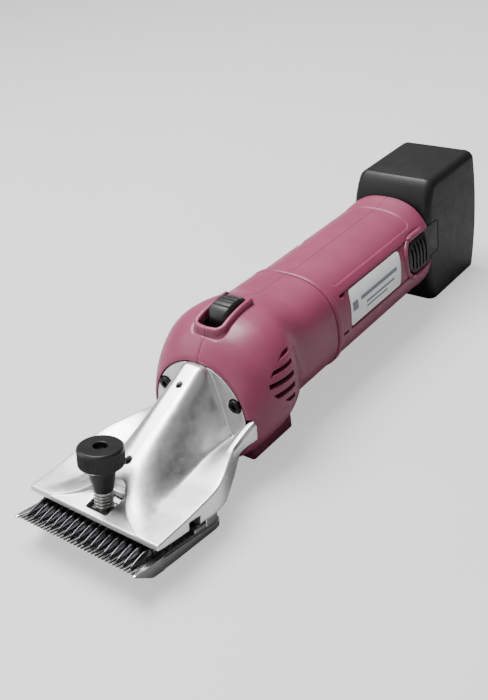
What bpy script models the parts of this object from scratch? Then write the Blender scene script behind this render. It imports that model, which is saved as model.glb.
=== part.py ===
"""Cordless sheep shears: a hand-held clipper with a cast head, a comb and cutter, and a slide-on battery.

Metres, +Z up. +Y runs along the body from the blades to the battery, and Z = 0 is the plane the
shears rest on. The origin is the centre of the foot's underside. Run in Blender 4.5.
"""

import math

import bmesh
import bpy
from mathutils import Matrix, Vector

MM = 0.001
GAP = 0.3 * MM

# Blades and head, in the head's own frame: u runs back from the comb tips, v is the comb's normal.
TIP_Y = -118 * MM
TIP_Z = 17 * MM
HEAD_PITCH = math.radians(10.5)
COMB_WIDTH = 76 * MM
COMB_LENGTH = 55.5 * MM
COMB_TEETH = 35
COMB_ROOT = 17 * MM
COMB_THICK = 5.2 * MM
COMB_LAND_FRONT = 46 * MM
COMB_LAND_TOP = 4.0 * MM
COMB_SCREW_X = 21 * MM
COMB_SCREW_U = 49 * MM
CUTTER_WIDTH = 69.6 * MM
CUTTER_TEETH = 17
CUTTER_TIP = 3.0 * MM
CUTTER_ROOT = 15 * MM
CUTTER_REAR = 30 * MM
CUTTER_TOP = 4.4 * MM

LIP_U = 11.7 * MM
HEAD_END_U = 87.3 * MM
RIDGE_SLOPE = 0.668
RIDGE_TOP = 57.2 * MM
HEAD_WALL = 2.4 * MM
WINDOW_HALF = 6.5 * MM
WINDOW_FRONT = 14.6 * MM
WINDOW_REAR = 27.5 * MM
TENSION_U = 20.2 * MM
KNOB_RADIUS = 10.6 * MM
KNOB_TOP = 39.6 * MM
KNOB_HEIGHT = 9 * MM
SPRING_BOTTOM = 9.4 * MM
SPRING_TOP = 16.6 * MM
PIVOT_U = 36.4 * MM
DRIVE_PIN_U = 26 * MM
DRIVE_PIN_X = 13 * MM
LEVER_LOW = 6.6 * MM
FORK_HALF = 9.4 * MM
FORK_ARM = 2.8 * MM
FORK_END_U = 78 * MM
OIL_HOLE_U = 72.4 * MM

# Casing and drive, in world directions.
FLANGE_Y = -27 * MM
FLANGE_TILT = math.radians(7)
MOUTH_Z = 28.6 * MM
MOUTH_HALF = 31.6 * MM
MOUTH_UP = 31.3 * MM
MOUTH_DOWN = 25 * MM
WALL = 2.5 * MM
CASING_END = 154.5 * MM
GRIP_CENTRE = 39.5 * MM
GRIP_HALF = 30.4 * MM
GRIP_UP = 28.2 * MM
GRIP_DOWN = 27.5 * MM
PANEL_Y = (58 * MM, 125.5 * MM)
PANEL_Z = (36 * MM, 57 * MM)
PANEL_DEPTH = 0.9 * MM
LABEL_Y = (65 * MM, 117.5 * MM)
LABEL_Z = (37.3 * MM, 55.6 * MM)
FOOT_Y = (-16.2 * MM, 17.1 * MM)
FOOT_HALF = 21.1 * MM
PARTING_GAP = 0.2 * MM
VENT_TOP = 57 * MM
VENT_PITCH = 5.4 * MM
VENT_HEIGHT = 2.5 * MM
VENT_FRONT = -17.5 * MM
VENT_ARC = 4.6 * MM
VENT_REAR = 6.3 * MM
LAP_REACH = 7 * MM
LAP_HALF = 8 * MM
LAP_HEIGHT = 2.5 * MM
SWITCH_Y = (-12 * MM, 12.3 * MM)
SWITCH_HALF = 6.8 * MM
SWITCH_TRAVEL = 5 * MM
SWITCH_FLOOR = 61.5 * MM
SPIGOT_SHRINK = 3.2 * MM
HEAD_SCREW_X = 21.9 * MM
HEAD_SCREW_Z = 39.7 * MM
GEAR_MODULE = 0.75 * MM
GEAR_TEETH = 33
PINION_TEETH = 11
GEAR_BACKLASH_DISTANCE = 0.25 * MM
CRANK_Z = 27 * MM
MOTOR_Z = CRANK_Z + GEAR_MODULE * (GEAR_TEETH + PINION_TEETH) / 2 + GEAR_BACKLASH_DISTANCE
CRANK_THROW = 2.6 * MM
ROLLER_RADIUS = 3.6 * MM
BEARING_RADIUS = 7 * MM
CASE_PLATE_Y = (-18.8 * MM, -15.2 * MM)
MOUNT_PLATE_Y = (-7.3 * MM, -2.3 * MM)
GEAR_Y = -14 * MM
GEAR_WIDTH = 6 * MM
MOTOR_RADIUS = 18 * MM
MOTOR_Y = (9 * MM, 66 * MM)
BATTERY_Y = (155 * MM, 218 * MM)
BATTERY_HALF = 25.9 * MM
BATTERY_TOP = 80 * MM
CELL_RADIUS = 9.2 * MM
LATCH_Y = (127 * MM, 167.3 * MM)
LATCH_Z = (34 * MM, 55 * MM)
BOSS_RADIUS = 3.4 * MM
# Each casing screw: y, z and how far from the parting plane its head is seated.
SCREW_PLACES = (
    (5 * MM, 8 * MM, 15 * MM),
    (44 * MM, 20 * MM, 17 * MM),
    (112 * MM, 20 * MM, 17 * MM),
    (97 * MM, 60 * MM, 16 * MM),
)

HEAD_FRAME = Matrix.Translation((0, TIP_Y, TIP_Z)) @ Matrix.Rotation(-HEAD_PITCH, 4, "X")

# Each casing station: y, centre z, half-width, height above the centre, depth below it, then the
# exponents of the upper and lower halves. A bulbous front housing steps down to the grip at y = 18.
CASING_STATIONS = [
    (-27.0, 28.6, 31.6, 31.3, 25.0, 2.0, 2.0),
    (-22.3, 30.6, 34.9, 35.3, 27.6, 2.03, 2.0),
    (-16.5, 32.6, 36.6, 37.5, 29.2, 2.12, 2.0),
    (-8.0, 34.6, 37.8, 38.0, 30.0, 2.3, 2.0),
    (3.0, 36.2, 37.9, 36.7, 30.3, 2.45, 2.0),
    (9.0, 36.9, 37.2, 35.5, 29.6, 2.5, 2.0),
    (13.5, 37.5, 35.0, 34.2, 28.6, 2.5, 2.05),
    (18.0, 38.2, 31.1, 31.9, 28.1, 2.55, 2.15),
    (29.0, 39.0, 30.5, 29.5, 28.2, 2.6, 2.15),
    (51.4, 39.3, 30.4, 28.8, 28.0, 2.6, 2.15),
    (52.4, 39.3, 31.4, 29.5, 28.8, 2.5, 2.15),
    (55.4, 39.3, 30.4, 28.4, 27.7, 2.45, 2.15),
    (128.0, 39.6, 30.4, 28.0, 27.4, 2.36, 2.13),
    (141.0, 39.6, 30.4, 28.2, 27.6, 2.36, 2.15),
    (151.5, 39.6, 31.5, 30.0, 28.6, 2.45, 2.25),
    (154.5, 39.6, 31.5, 30.0, 28.6, 2.45, 2.25),
]


def clear_scene():
    for obj in list(bpy.data.objects):
        bpy.data.objects.remove(obj)


def make_material(name, colour, roughness, metallic=0.0):
    made = bpy.data.materials.get(name)
    if made:
        return made
    made = bpy.data.materials.new(name)
    made.use_nodes = True
    shader = made.node_tree.nodes["Principled BSDF"]
    shader.inputs["Base Color"].default_value = (*colour, 1)
    shader.inputs["Roughness"].default_value = roughness
    shader.inputs["Metallic"].default_value = metallic
    made.diffuse_color = (*colour, 1)
    return made


def casing_plastic():
    return make_material("casing_plastic", (0.32, 0.07, 0.12), 0.42)


def cast_aluminium():
    return make_material("cast_aluminium", (0.72, 0.72, 0.72), 0.28, 1.0)


def blade_steel():
    return make_material("blade_steel", (0.62, 0.61, 0.58), 0.25, 1.0)


def cutter_steel():
    return make_material("cutter_steel", (0.16, 0.16, 0.16), 0.32, 1.0)


def plain_steel():
    return make_material("plain_steel", (0.5, 0.5, 0.5), 0.3, 1.0)


def black_steel():
    return make_material("black_steel", (0.03, 0.03, 0.03), 0.4, 1.0)


def black_plastic():
    return make_material("black_plastic", (0.025, 0.025, 0.025), 0.45)


def battery_plastic():
    return make_material("battery_plastic", (0.03, 0.03, 0.032), 0.55)


def label_film():
    return make_material("label_film", (0.82, 0.84, 0.86), 0.3)


def brass():
    return make_material("brass", (0.7, 0.5, 0.2), 0.3, 1.0)


def cell_wrap():
    return make_material("cell_wrap", (0.1, 0.25, 0.5), 0.4)


def add_object(name, mesh_data, material=None, matrix=None, smooth=True):
    """Makes the object, with its faces turned outward and its round faces shaded smooth."""
    mesh = bpy.data.meshes.new(name)
    bmesh.ops.recalc_face_normals(mesh_data, faces=mesh_data.faces[:])
    mesh_data.to_mesh(mesh)
    mesh_data.free()
    obj = bpy.data.objects.new(name, mesh)
    bpy.context.scene.collection.objects.link(obj)
    if material:
        mesh.materials.append(material)
    if smooth:
        mesh.shade_smooth()
        mesh.set_sharp_from_angle(angle=math.radians(35))
    if matrix is not None:
        obj.matrix_world = matrix
    return obj


def loft(name, rings, material=None, matrix=None):
    """Joins rings of equal point count side by side and fans both ends shut, all in flat triangles."""
    data = bmesh.new()
    layers = [[data.verts.new(point) for point in ring] for ring in rings]
    count = len(rings[0])
    for near, far in zip(layers, layers[1:]):
        for i in range(count):
            j = (i + 1) % count
            data.faces.new((near[i], near[j], far[j], far[i]))
    for ring, layer in ((rings[0], layers[0]), (rings[-1], layers[-1])):
        middle = data.verts.new(sum(ring, Vector()) / count)
        for i in range(count):
            data.faces.new((middle, layer[i], layer[(i + 1) % count]))
    bmesh.ops.triangulate(data, faces=data.faces[:])
    return add_object(name, data, material, matrix)


def prism(name, outline, low, high, material=None, matrix=None):
    """An outline in the X-Y plane extruded from low to high along Z."""
    rings = [[Vector((x, y, z)) for x, y in outline] for z in (low, high)]
    return loft(name, rings, material, matrix)


def lathe(name, profile, material=None, matrix=None, segments=20):
    """Turns a profile of (radius, height) round the local Z axis. A closed profile makes a ring."""
    data = bmesh.new()
    rows = []
    for radius, height in profile:
        if radius == 0:
            rows.append([data.verts.new((0, 0, height))] * segments)
            continue
        angles = [2 * math.pi * i / segments for i in range(segments)]
        rows.append([data.verts.new((radius * math.cos(a), radius * math.sin(a), height)) for a in angles])
    pairs = list(zip(rows, rows[1:]))
    if profile[0][0] and profile[-1][0]:
        pairs.append((rows[-1], rows[0]))
    for near, far in pairs:
        for i in range(segments):
            j = (i + 1) % segments
            corners = [near[i], near[j], far[j], far[i]]
            unique = list(dict.fromkeys(corners))
            if len(unique) > 2:
                data.faces.new(unique)
    return add_object(name, data, material, matrix)


def rod(name, radius, low, high, material=None, matrix=None, segments=20):
    return lathe(name, [(0, low), (radius, low), (radius, high), (0, high)], material, matrix, segments)


def tube(name, inner, outer, low, high, material=None, matrix=None, segments=20):
    profile = [(inner, low), (outer, low), (outer, high), (inner, high)]
    return lathe(name, profile, material, matrix, segments)


def block(name, low, high, material=None, matrix=None, bevel=0.0):
    """An upright box between two corners, with its edges rounded by bevel."""
    data = bmesh.new()
    bmesh.ops.create_cube(data, size=1)
    low, high = Vector(low), Vector(high)
    for vert in data.verts:
        share = vert.co + Vector((0.5, 0.5, 0.5))
        vert.co = Vector(low[i] + (high[i] - low[i]) * share[i] for i in range(3))
    if bevel:
        bmesh.ops.bevel(data, geom=data.edges[:], offset=bevel, segments=2, profile=0.5, affect="EDGES")
    return add_object(name, data, material, matrix)


def combine(obj, other, operation):
    """Adds a Boolean and marks the other object as a hidden tool.

    EXACT leaves open edges on the casing's long chain of cuts, so the casing uses MANIFOLD.
    """
    modifier = obj.modifiers.new(other.name, "BOOLEAN")
    modifier.operation = operation
    modifier.solver = "MANIFOLD" if obj.name.startswith("casing") else "EXACT"
    modifier.object = other
    other.hide_render = True
    other.display_type = "WIRE"
    return obj


def cut(obj, other):
    return combine(obj, other, "DIFFERENCE")


def fuse(obj, other):
    return combine(obj, other, "UNION")


def empty(name, matrix):
    """A frame at a joint's axis, which the moving pieces are parented to."""
    obj = bpy.data.objects.new(name, None)
    bpy.context.scene.collection.objects.link(obj)
    obj.matrix_world = matrix
    return obj


def parent_to(frame, *pieces):
    for piece in pieces:
        piece.parent = frame
        piece.matrix_parent_inverse = frame.matrix_world.inverted()


def along_y(x, y, z):
    """The frame at a point whose local Z runs along +Y."""
    return Matrix.Translation((x, y, z)) @ Matrix.Rotation(-math.pi / 2, 4, "X")


def along_x(x, y, z, side=1):
    """The frame at a point whose local Z runs outward along X."""
    return Matrix.Translation((x, y, z)) @ Matrix.Rotation(side * math.pi / 2, 4, "Y")


def head_place(x, u, v):
    return HEAD_FRAME @ Matrix.Translation((x, u, v))


# ---- Casing ----------------------------------------------------------------------------------


def section(y, centre, half, up, down, over, under, shrink=0.0, count=24):
    """One superellipse ring across the body. The front ones lean with the head's flange."""
    lean = math.tan(FLANGE_TILT) * min(1.0, max(0.0, -y / -FLANGE_Y))
    ring = []
    for i in range(count):
        angle = 2 * math.pi * (i + 0.5) / count
        c, s = math.cos(angle), math.sin(angle)
        power = over if s > 0 else under
        x = (half - shrink) * math.copysign(abs(c) ** (2 / power), c)
        height = (up if s > 0 else down) - shrink
        z = height * math.copysign(abs(s) ** (2 / power), s)
        ring.append(Vector((x, y + lean * z, centre + z)))
    return ring


def casing_rows():
    """The stations with their lengths in metres; the two exponents stay plain numbers."""
    return [[n * MM for n in row[:5]] + list(row[5:]) for row in CASING_STATIONS]


def casing_outside(name):
    return loft(name, [section(*row) for row in casing_rows()], casing_plastic())


def casing_inside(name):
    """The hollow, drawn past both ends so that they stay open. It is wider where the flange plugs in."""
    rows = casing_rows()
    front, rear = list(rows[0]), list(rows[-1])
    front[0] -= 6 * MM
    rear[0] += 6 * MM
    rings = [section(*front, shrink=1.1 * MM), section(*rows[0], shrink=1.1 * MM)]
    rings += [section(*row, shrink=WALL) for row in rows[1:] + [rear]]
    return loft(name, rings)


def vent_cutter(side):
    """Five slots along the body, cut through the bulge, longest in the middle."""
    slots = []
    for i in range(5):
        z = VENT_TOP - VENT_PITCH * i
        front = VENT_FRONT + VENT_ARC * abs(i - 2) ** 1.75
        near = (side * 24 * MM, front, z - VENT_HEIGHT / 2)
        far = (side * 44 * MM, VENT_REAR - i * MM, z + VENT_HEIGHT / 2)
        slots.append(block(f"cut_vent_{side}_{i}", *sorted_corner(near, far)))
    return slots


def screw_cutter(name, y, z, reach, side):
    """The blind pilot hole in the right half, or the counterbored hole through the left half."""
    pilot = 1.9 * MM
    if side > 0:
        return rod(name, pilot, -1 * MM, 12 * MM, matrix=along_x(0, y, z, side), segments=12)
    bore = 3.2 * MM
    profile = [(0, -1 * MM), (pilot, -1 * MM), (pilot, reach - GAP), (bore, reach - GAP)]
    profile += [(bore, 45 * MM), (0, 45 * MM)]
    return lathe(name, profile, matrix=along_x(0, y, z, side), segments=12)


def casing_half(name, side):
    """One clamshell half: the wall, half the foot and switch bezel, the vents, bosses and openings."""
    half = casing_outside(name)
    foot = block(
        f"foot_{name}",
        (-FOOT_HALF, FOOT_Y[0], 0),
        (FOOT_HALF, FOOT_Y[1], 12 * MM),
        bevel=1.2 * MM,
    )
    fuse(half, foot)
    bezel = block(
        f"bezel_{name}",
        (-9.6 * MM, SWITCH_Y[0] - 3 * MM, 66 * MM),
        (9.6 * MM, SWITCH_Y[1] + 3 * MM, 74.4 * MM),
        bevel=1.5 * MM,
    )
    fuse(half, bezel)
    cut(half, casing_inside(f"cut_inside_{name}"))
    for i, (y, z, reach) in enumerate(SCREW_PLACES):
        boss = rod(f"boss_{name}_{i}", BOSS_RADIUS, 0, reach + WALL, segments=12)
        boss.matrix_world = along_x(0, y, z, side)
        fuse(half, boss)
        cut(half, screw_cutter(f"cut_screw_{name}_{i}", y, z, reach, side))
    window = block(
        f"cut_switch_{name}",
        (-SWITCH_HALF, SWITCH_Y[0], 60 * MM),
        (SWITCH_HALF, SWITCH_Y[1], 80 * MM),
    )
    cut(half, window)
    for slot in vent_cutter(side):
        cut(half, slot)
    cut(half, side_band(f"cut_panel_{name}", side, PANEL_Y, PANEL_Z, PANEL_DEPTH, -4 * MM))
    low, high = sorted_corner(
        (side * 20 * MM, LATCH_Y[0] - GAP, LATCH_Z[0] - 0.8 * MM),
        (side * 40 * MM, CASING_END + 5 * MM, LATCH_Z[1] + 0.8 * MM),
    )
    cut(half, block(f"cut_latch_{name}", low, high))
    if side > 0:
        cut(half, block("cut_lug", (25 * MM, -34 * MM, 21.5 * MM), (40 * MM, -19.5 * MM, 34.8 * MM)))
    low, high = sorted_corner((-side * 60 * MM, -60 * MM, -20 * MM), (side * PARTING_GAP / 2, 260 * MM, 120 * MM))
    cut(half, block(f"cut_half_{name}", low, high))
    if side > 0:
        fuse(half, block("foot_lap", (-LAP_REACH, -LAP_HALF, 0), (LAP_REACH, LAP_HALF, LAP_HEIGHT)))
    else:
        room = (-LAP_REACH - GAP, -LAP_HALF - GAP, -1 * MM)
        cut(half, block("cut_foot_lap", room, (GAP, LAP_HALF + GAP, LAP_HEIGHT + GAP)))
    return half


def sorted_corner(a, b):
    """The lowest and highest corners of the box between two points."""
    return tuple(min(p, q) for p, q in zip(a, b)), tuple(max(p, q) for p, q in zip(a, b))


def casing_screw(number, y, z, reach):
    """A pan-head screw driven in from the left half into the right half's boss."""
    shank, head, tip, top = 1.6 * MM, 2.9 * MM, -9 * MM, reach + 2 * MM
    profile = [(0, tip), (shank, tip), (shank, reach), (head, reach), (head, top), (0, top)]
    return lathe(f"casing_screw_{number}", profile, black_steel(), along_x(0, y, z, -1), 12)


def grip_side(z, shrink):
    """Half-width of the grip's side wall at height z, drawn in by shrink."""
    rise = z - GRIP_CENTRE
    reach = (GRIP_UP if rise > 0 else GRIP_DOWN) - shrink
    power = 2.4 if rise > 0 else 2.14
    return (GRIP_HALF - shrink) * (1 - abs(rise / reach) ** power) ** (1 / power)


def side_band(name, side, span_y, span_z, near, far, material=None):
    """A curved plate that follows the grip's side between two depths below its skin."""
    rings = []
    for i in range(9):
        z = span_z[0] + (span_z[1] - span_z[0]) * i / 8
        inner, outer = side * grip_side(z, near), side * grip_side(z, far)
        corners = ((inner, span_y[0]), (outer, span_y[0]), (outer, span_y[1]), (inner, span_y[1]))
        rings.append([Vector((x, y, z)) for x, y in corners])
    return loft(name, rings, material)


def label(name, side):
    """A thin blank film that follows the side panel's curved floor."""
    return side_band(name, side, LABEL_Y, LABEL_Z, PANEL_DEPTH - GAP, PANEL_DEPTH - 2 * GAP, label_film())


# ---- Head, comb and cutter -------------------------------------------------------------------


def smooth_step(low, high, value):
    share = min(1.0, max(0.0, (value - low) / (high - low)))
    return share * share * (3 - 2 * share)


def stations(value, pairs):
    """Straight-line interpolation through (position, height) pairs given in millimetres."""
    value /= MM
    for (a, low), (b, high) in zip(pairs, pairs[1:]):
        if value <= b:
            return (low + (high - low) * max(0.0, (value - a) / (b - a))) * MM
    return pairs[-1][1] * MM


def wing_half(u):
    """Half-width of the head: broad over the blades, drawn in at a waist before the flange."""
    return stations(u, [(11.7, 40.2), (48, 40.2), (56, 39.2), (62, 36.8), (68, 33.9), (75, 31.2), (90, 28.6)])


def rim_height(u):
    return stations(u, [(11.7, 9.2), (30, 12.6), (50, 17.4), (56, 19.6), (62, 21.8), (68, 23.5), (90, 26.4)])


def ridge_height(u):
    return min(9.2 * MM + RIDGE_SLOPE * (u - LIP_U), RIDGE_TOP)


def head_top(x, u):
    """Height of the head's outer skin: a sloping ridge, a valley each side, and the rims."""
    shoulder = 1 - smooth_step(6 * MM, 25 * MM, abs(x))
    rise = ridge_height(u) - rim_height(u)
    return rim_height(u) + max(0.0, rise) * shoulder


def recess_top(x, u):
    """Floor of the bell-shaped recess round the tension knob, or None outside it."""
    reach = 29 * MM - 17.3 * MM * min(1.0, abs(x) / (36 * MM)) ** 0.55
    if u > reach:
        return None
    return 9 * MM + 0.4 * (u - LIP_U)


def skin_height(x, u):
    floor = recess_top(x, u)
    return head_top(x, u) if floor is None else min(floor, head_top(x, u))


def arch_ring(u, half, shrink, bottom, power, count=19, under=7):
    """One ring across the head: the skin from rim to rim, then round the underside."""
    ring = []
    for i in range(count):
        x = half * (2 * i / (count - 1) - 1)
        ring.append(Vector((x, u, max(skin_height(x, u) - shrink, bottom + 1 * MM))))
    rim = ring[-1].z
    for i in range(1, under + 1):
        angle = math.pi * i / (under + 1)
        c, s = math.cos(angle), math.sin(angle)
        x = half * math.copysign(abs(c) ** (2 / power), c)
        ring.append(Vector((x, u, rim - (rim - bottom) * s ** (2 / power))))
    lean = math.tan(HEAD_PITCH - FLANGE_TILT) * smooth_step(70 * MM, HEAD_END_U, u)
    return [point + Vector((0, lean * (30 * MM - point.z), 0)) for point in ring]


def head_solid(name, low_u, high_u, shrink, bottom, steps):
    """The head's shape between two places along it, drawn in by shrink, down to bottom(u)."""
    rings = []
    for i in range(steps + 1):
        u = low_u + (high_u - low_u) * i / steps
        power = 2 + 14 * (1 - smooth_step(54 * MM, 84 * MM, u))
        rings.append(arch_ring(u, wing_half(u) - shrink, shrink, bottom(u), power))
    return loft(name, rings, cast_aluminium(), HEAD_FRAME)


def below_head(u):
    """A depth under the blades, for a cutter that opens the head's underside."""
    return -6 * MM


def head_bottom(u):
    return stations(u, [(11.7, 6.1), (16, 5.2), (30, 4.6), (56, 4.4), (62, 2.6), (78, 2.6), (90, 7.5)])


def flange_section(y, shrink):
    """The casing mouth's own outline, drawn in by shrink and moved along to y."""
    ring = section(FLANGE_Y, MOUTH_Z, MOUTH_HALF, MOUTH_UP, MOUTH_DOWN, 2.0, 2.0, shrink=shrink)
    return [point + Vector((0, y - FLANGE_Y, 0)) for point in ring]


def head_casting():
    """The cast head: ridged top skin, hollow beneath, with a flange and spigot that plug into the casing."""
    head = head_solid("head_casting", LIP_U, HEAD_END_U, 0.0, head_bottom, 24)
    edge = 1.1 * MM + GAP
    faces = ((-0.2 * MM, edge), (1.2 * MM, edge), (2.8 * MM, edge + 0.8 * MM))
    fuse(head, loft("head_flange", [flange_section(FLANGE_Y + dy, shrink) for dy, shrink in faces]))
    spigot = [flange_section(FLANGE_Y + dy, SPIGOT_SHRINK) for dy in (1 * MM, 4.6 * MM)]
    fuse(head, loft("head_spigot", spigot))
    fuse(head, block("head_lug", (26 * MM, -33.5 * MM, 22 * MM), (33 * MM, -20 * MM, 34.3 * MM), bevel=1 * MM))
    front = head_solid("cut_head_front", 14 * MM, 38.2 * MM, HEAD_WALL, below_head, 9)
    cut(head, front)
    tunnel = []
    for i in range(6):
        u = 35 * MM + 63 * MM * i / 5
        top = min(ridge_height(u) - 4.5 * MM, 44 * MM)
        right = ((16 * MM, -8 * MM), (16 * MM, top - 13 * MM), (13.5 * MM, top - 6 * MM), (8 * MM, top))
        corners = list(right) + [(-x, v) for x, v in reversed(right)]
        tunnel.append([Vector((x, u, v)) for x, v in corners])
    cut(head, loft("cut_head_tunnel", tunnel, matrix=HEAD_FRAME))
    low = (-WINDOW_HALF, WINDOW_FRONT, 0)
    high = (WINDOW_HALF, WINDOW_REAR, 30 * MM)
    cut(head, block("cut_head_window", low, high, matrix=HEAD_FRAME))
    oil_low = Vector((0, OIL_HOLE_U, 36 * MM))
    oil = rod("cut_oil_hole", 1.5 * MM, 0, 20 * MM, matrix=HEAD_FRAME @ Matrix.Translation(oil_low), segments=12)
    cut(head, oil)
    pivot = rod("cut_pivot", 2.3 * MM, 10 * MM, 40 * MM, matrix=head_place(0, PIVOT_U, 0), segments=16)
    cut(head, pivot)
    for side in (-1, 1):
        x = side * HEAD_SCREW_X
        profile = [(0, -20 * MM), (3.7 * MM, -20 * MM), (3.7 * MM, 4.1 * MM), (1.9 * MM, 4.1 * MM)]
        profile += [(1.9 * MM, 12 * MM), (0, 12 * MM)]
        cut(head, lathe(f"cut_head_screw_{side}", profile, matrix=along_y(x, FLANGE_Y, HEAD_SCREW_Z)))
        comb = rod(f"cut_comb_screw_{side}", 2.0 * MM, 0, 16 * MM, segments=14)
        comb.matrix_world = head_place(side * COMB_SCREW_X, COMB_SCREW_U, 0)
        cut(head, comb)
        low, high = sorted_corner((side * 34 * MM, 32 * MM, 0), (side * 44 * MM, 39.5 * MM, 10.4 * MM))
        cut(head, block(f"cut_side_window_{side}", low, high, matrix=HEAD_FRAME))
        low, high = sorted_corner((side * 34 * MM, 43.5 * MM, 0), (side * 44 * MM, 47 * MM, 5.2 * MM))
        cut(head, block(f"cut_side_notch_{side}", low, high, matrix=HEAD_FRAME))
    return head


def head_screw(name, side):
    """A socket screw through the flange, sunk in its counterbore."""
    profile = [(0, 7.2 * MM), (1.6 * MM, 7.2 * MM), (1.6 * MM, 3.8 * MM), (3.3 * MM, 3.8 * MM)]
    profile += [(3.3 * MM, 0.7 * MM), (1.6 * MM, 0.7 * MM), (1.6 * MM, 2.4 * MM), (0, 2.4 * MM)]
    return lathe(name, profile, black_steel(), along_y(side * HEAD_SCREW_X, FLANGE_Y, HEAD_SCREW_Z), 16)


def add_tooth(data, centre, rows, top_share=1.0):
    """One tapering tooth through rows of (u, half-width, bottom, top), closed at both ends."""
    layers = []
    for u, wide, low, high in rows:
        corners = ((-wide, low), (wide, low), (wide * top_share, high), (-wide * top_share, high))
        layers.append([data.verts.new((centre + x, u, v)) for x, v in corners])
    for near, far in zip(layers, layers[1:]):
        for k in range(4):
            j = (k + 1) % 4
            data.faces.new((near[k], near[j], far[j], far[k]))
    data.faces.new(layers[0][::-1])
    data.faces.new(layers[-1])


def comb_blade():
    """The fixed lower blade: a plate with 35 pointed teeth, a bevelled sole and a raised rear land."""
    half = COMB_WIDTH / 2
    pitch = COMB_WIDTH / COMB_TEETH
    sole = (
        (COMB_ROOT, half, -4.4 * MM),
        (24 * MM, half, -COMB_THICK),
        (COMB_LENGTH - 3 * MM, half, -COMB_THICK),
        (COMB_LENGTH, half - 3 * MM, -COMB_THICK),
    )
    rings = []
    for u, wide, low in sole:
        corners = ((-wide, low), (wide, low), (wide, 0), (-wide, 0))
        rings.append([Vector((x, u, v)) for x, v in corners])
    comb = loft("comb_blade", rings, blade_steel(), HEAD_FRAME)
    land = block(
        "comb_land",
        (-half + 1 * MM, COMB_LAND_FRONT, -1 * MM),
        (half - 1 * MM, COMB_LENGTH - 1 * MM, COMB_LAND_TOP),
        matrix=HEAD_FRAME,
        bevel=0.8 * MM,
    )
    fuse(comb, land)
    teeth = bmesh.new()
    for i in range(COMB_TEETH):
        centre = (i - (COMB_TEETH - 1) / 2) * pitch
        outer = i in (0, COMB_TEETH - 1)
        tip = (0, pitch * 0.16, -0.7 * MM, 0)
        root = (COMB_ROOT + 1 * MM, pitch * (0.5 if outer else 0.34), -4.3 * MM, -0.02 * MM)
        add_tooth(teeth, centre, (tip, root))
    fuse(comb, add_object("comb_teeth", teeth, matrix=HEAD_FRAME))
    for side in (-1, 1):
        profile = [(0, -8 * MM), (4.2 * MM, -8 * MM), (4.2 * MM, -2.6 * MM), (2.3 * MM, -2.6 * MM)]
        profile += [(2.3 * MM, 8 * MM), (0, 8 * MM)]
        place = head_place(side * COMB_SCREW_X, COMB_SCREW_U, 0)
        cut(comb, lathe(f"cut_comb_{side}", profile, matrix=place, segments=16))
    return comb


def comb_screw(name, side):
    profile = [(0, -4.9 * MM), (3.8 * MM, -4.9 * MM), (3.8 * MM, -2.9 * MM), (1.7 * MM, -2.9 * MM)]
    profile += [(1.7 * MM, 13 * MM), (0, 13 * MM)]
    return lathe(name, profile, plain_steel(), head_place(side * COMB_SCREW_X, COMB_SCREW_U, 0), 16)


def cutter_blade():
    """The moving upper blade: 17 tall teeth on a bar that rides on the comb."""
    half = CUTTER_WIDTH / 2
    pitch = CUTTER_WIDTH / CUTTER_TEETH
    low = 0.15 * MM
    bar = block(
        "cutter_blade",
        (-half, CUTTER_ROOT, low),
        (half, CUTTER_REAR, CUTTER_TOP),
        cutter_steel(),
        HEAD_FRAME,
    )
    teeth = bmesh.new()
    for i in range(CUTTER_TEETH):
        centre = (i - (CUTTER_TEETH - 1) / 2) * pitch
        rows = (
            (CUTTER_TIP, pitch * 0.13, low, 0.9 * MM),
            (CUTTER_TIP + 5.5 * MM, pitch * 0.3, low, 3.5 * MM),
            (CUTTER_ROOT + 1 * MM, pitch * 0.42, low + 0.02 * MM, CUTTER_TOP - 0.02 * MM),
        )
        add_tooth(teeth, centre, rows, top_share=0.8)
    bmesh.ops.triangulate(teeth, faces=teeth.faces[:])
    fuse(bar, add_object("cutter_teeth", teeth, matrix=HEAD_FRAME))
    for side in (-1, 1):
        hole = rod(f"cut_cutter_{side}", 2.3 * MM, 2.2 * MM, 8 * MM, segments=14)
        hole.matrix_world = head_place(side * DRIVE_PIN_X, DRIVE_PIN_U, 0)
        cut(bar, hole)
    return bar


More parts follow.
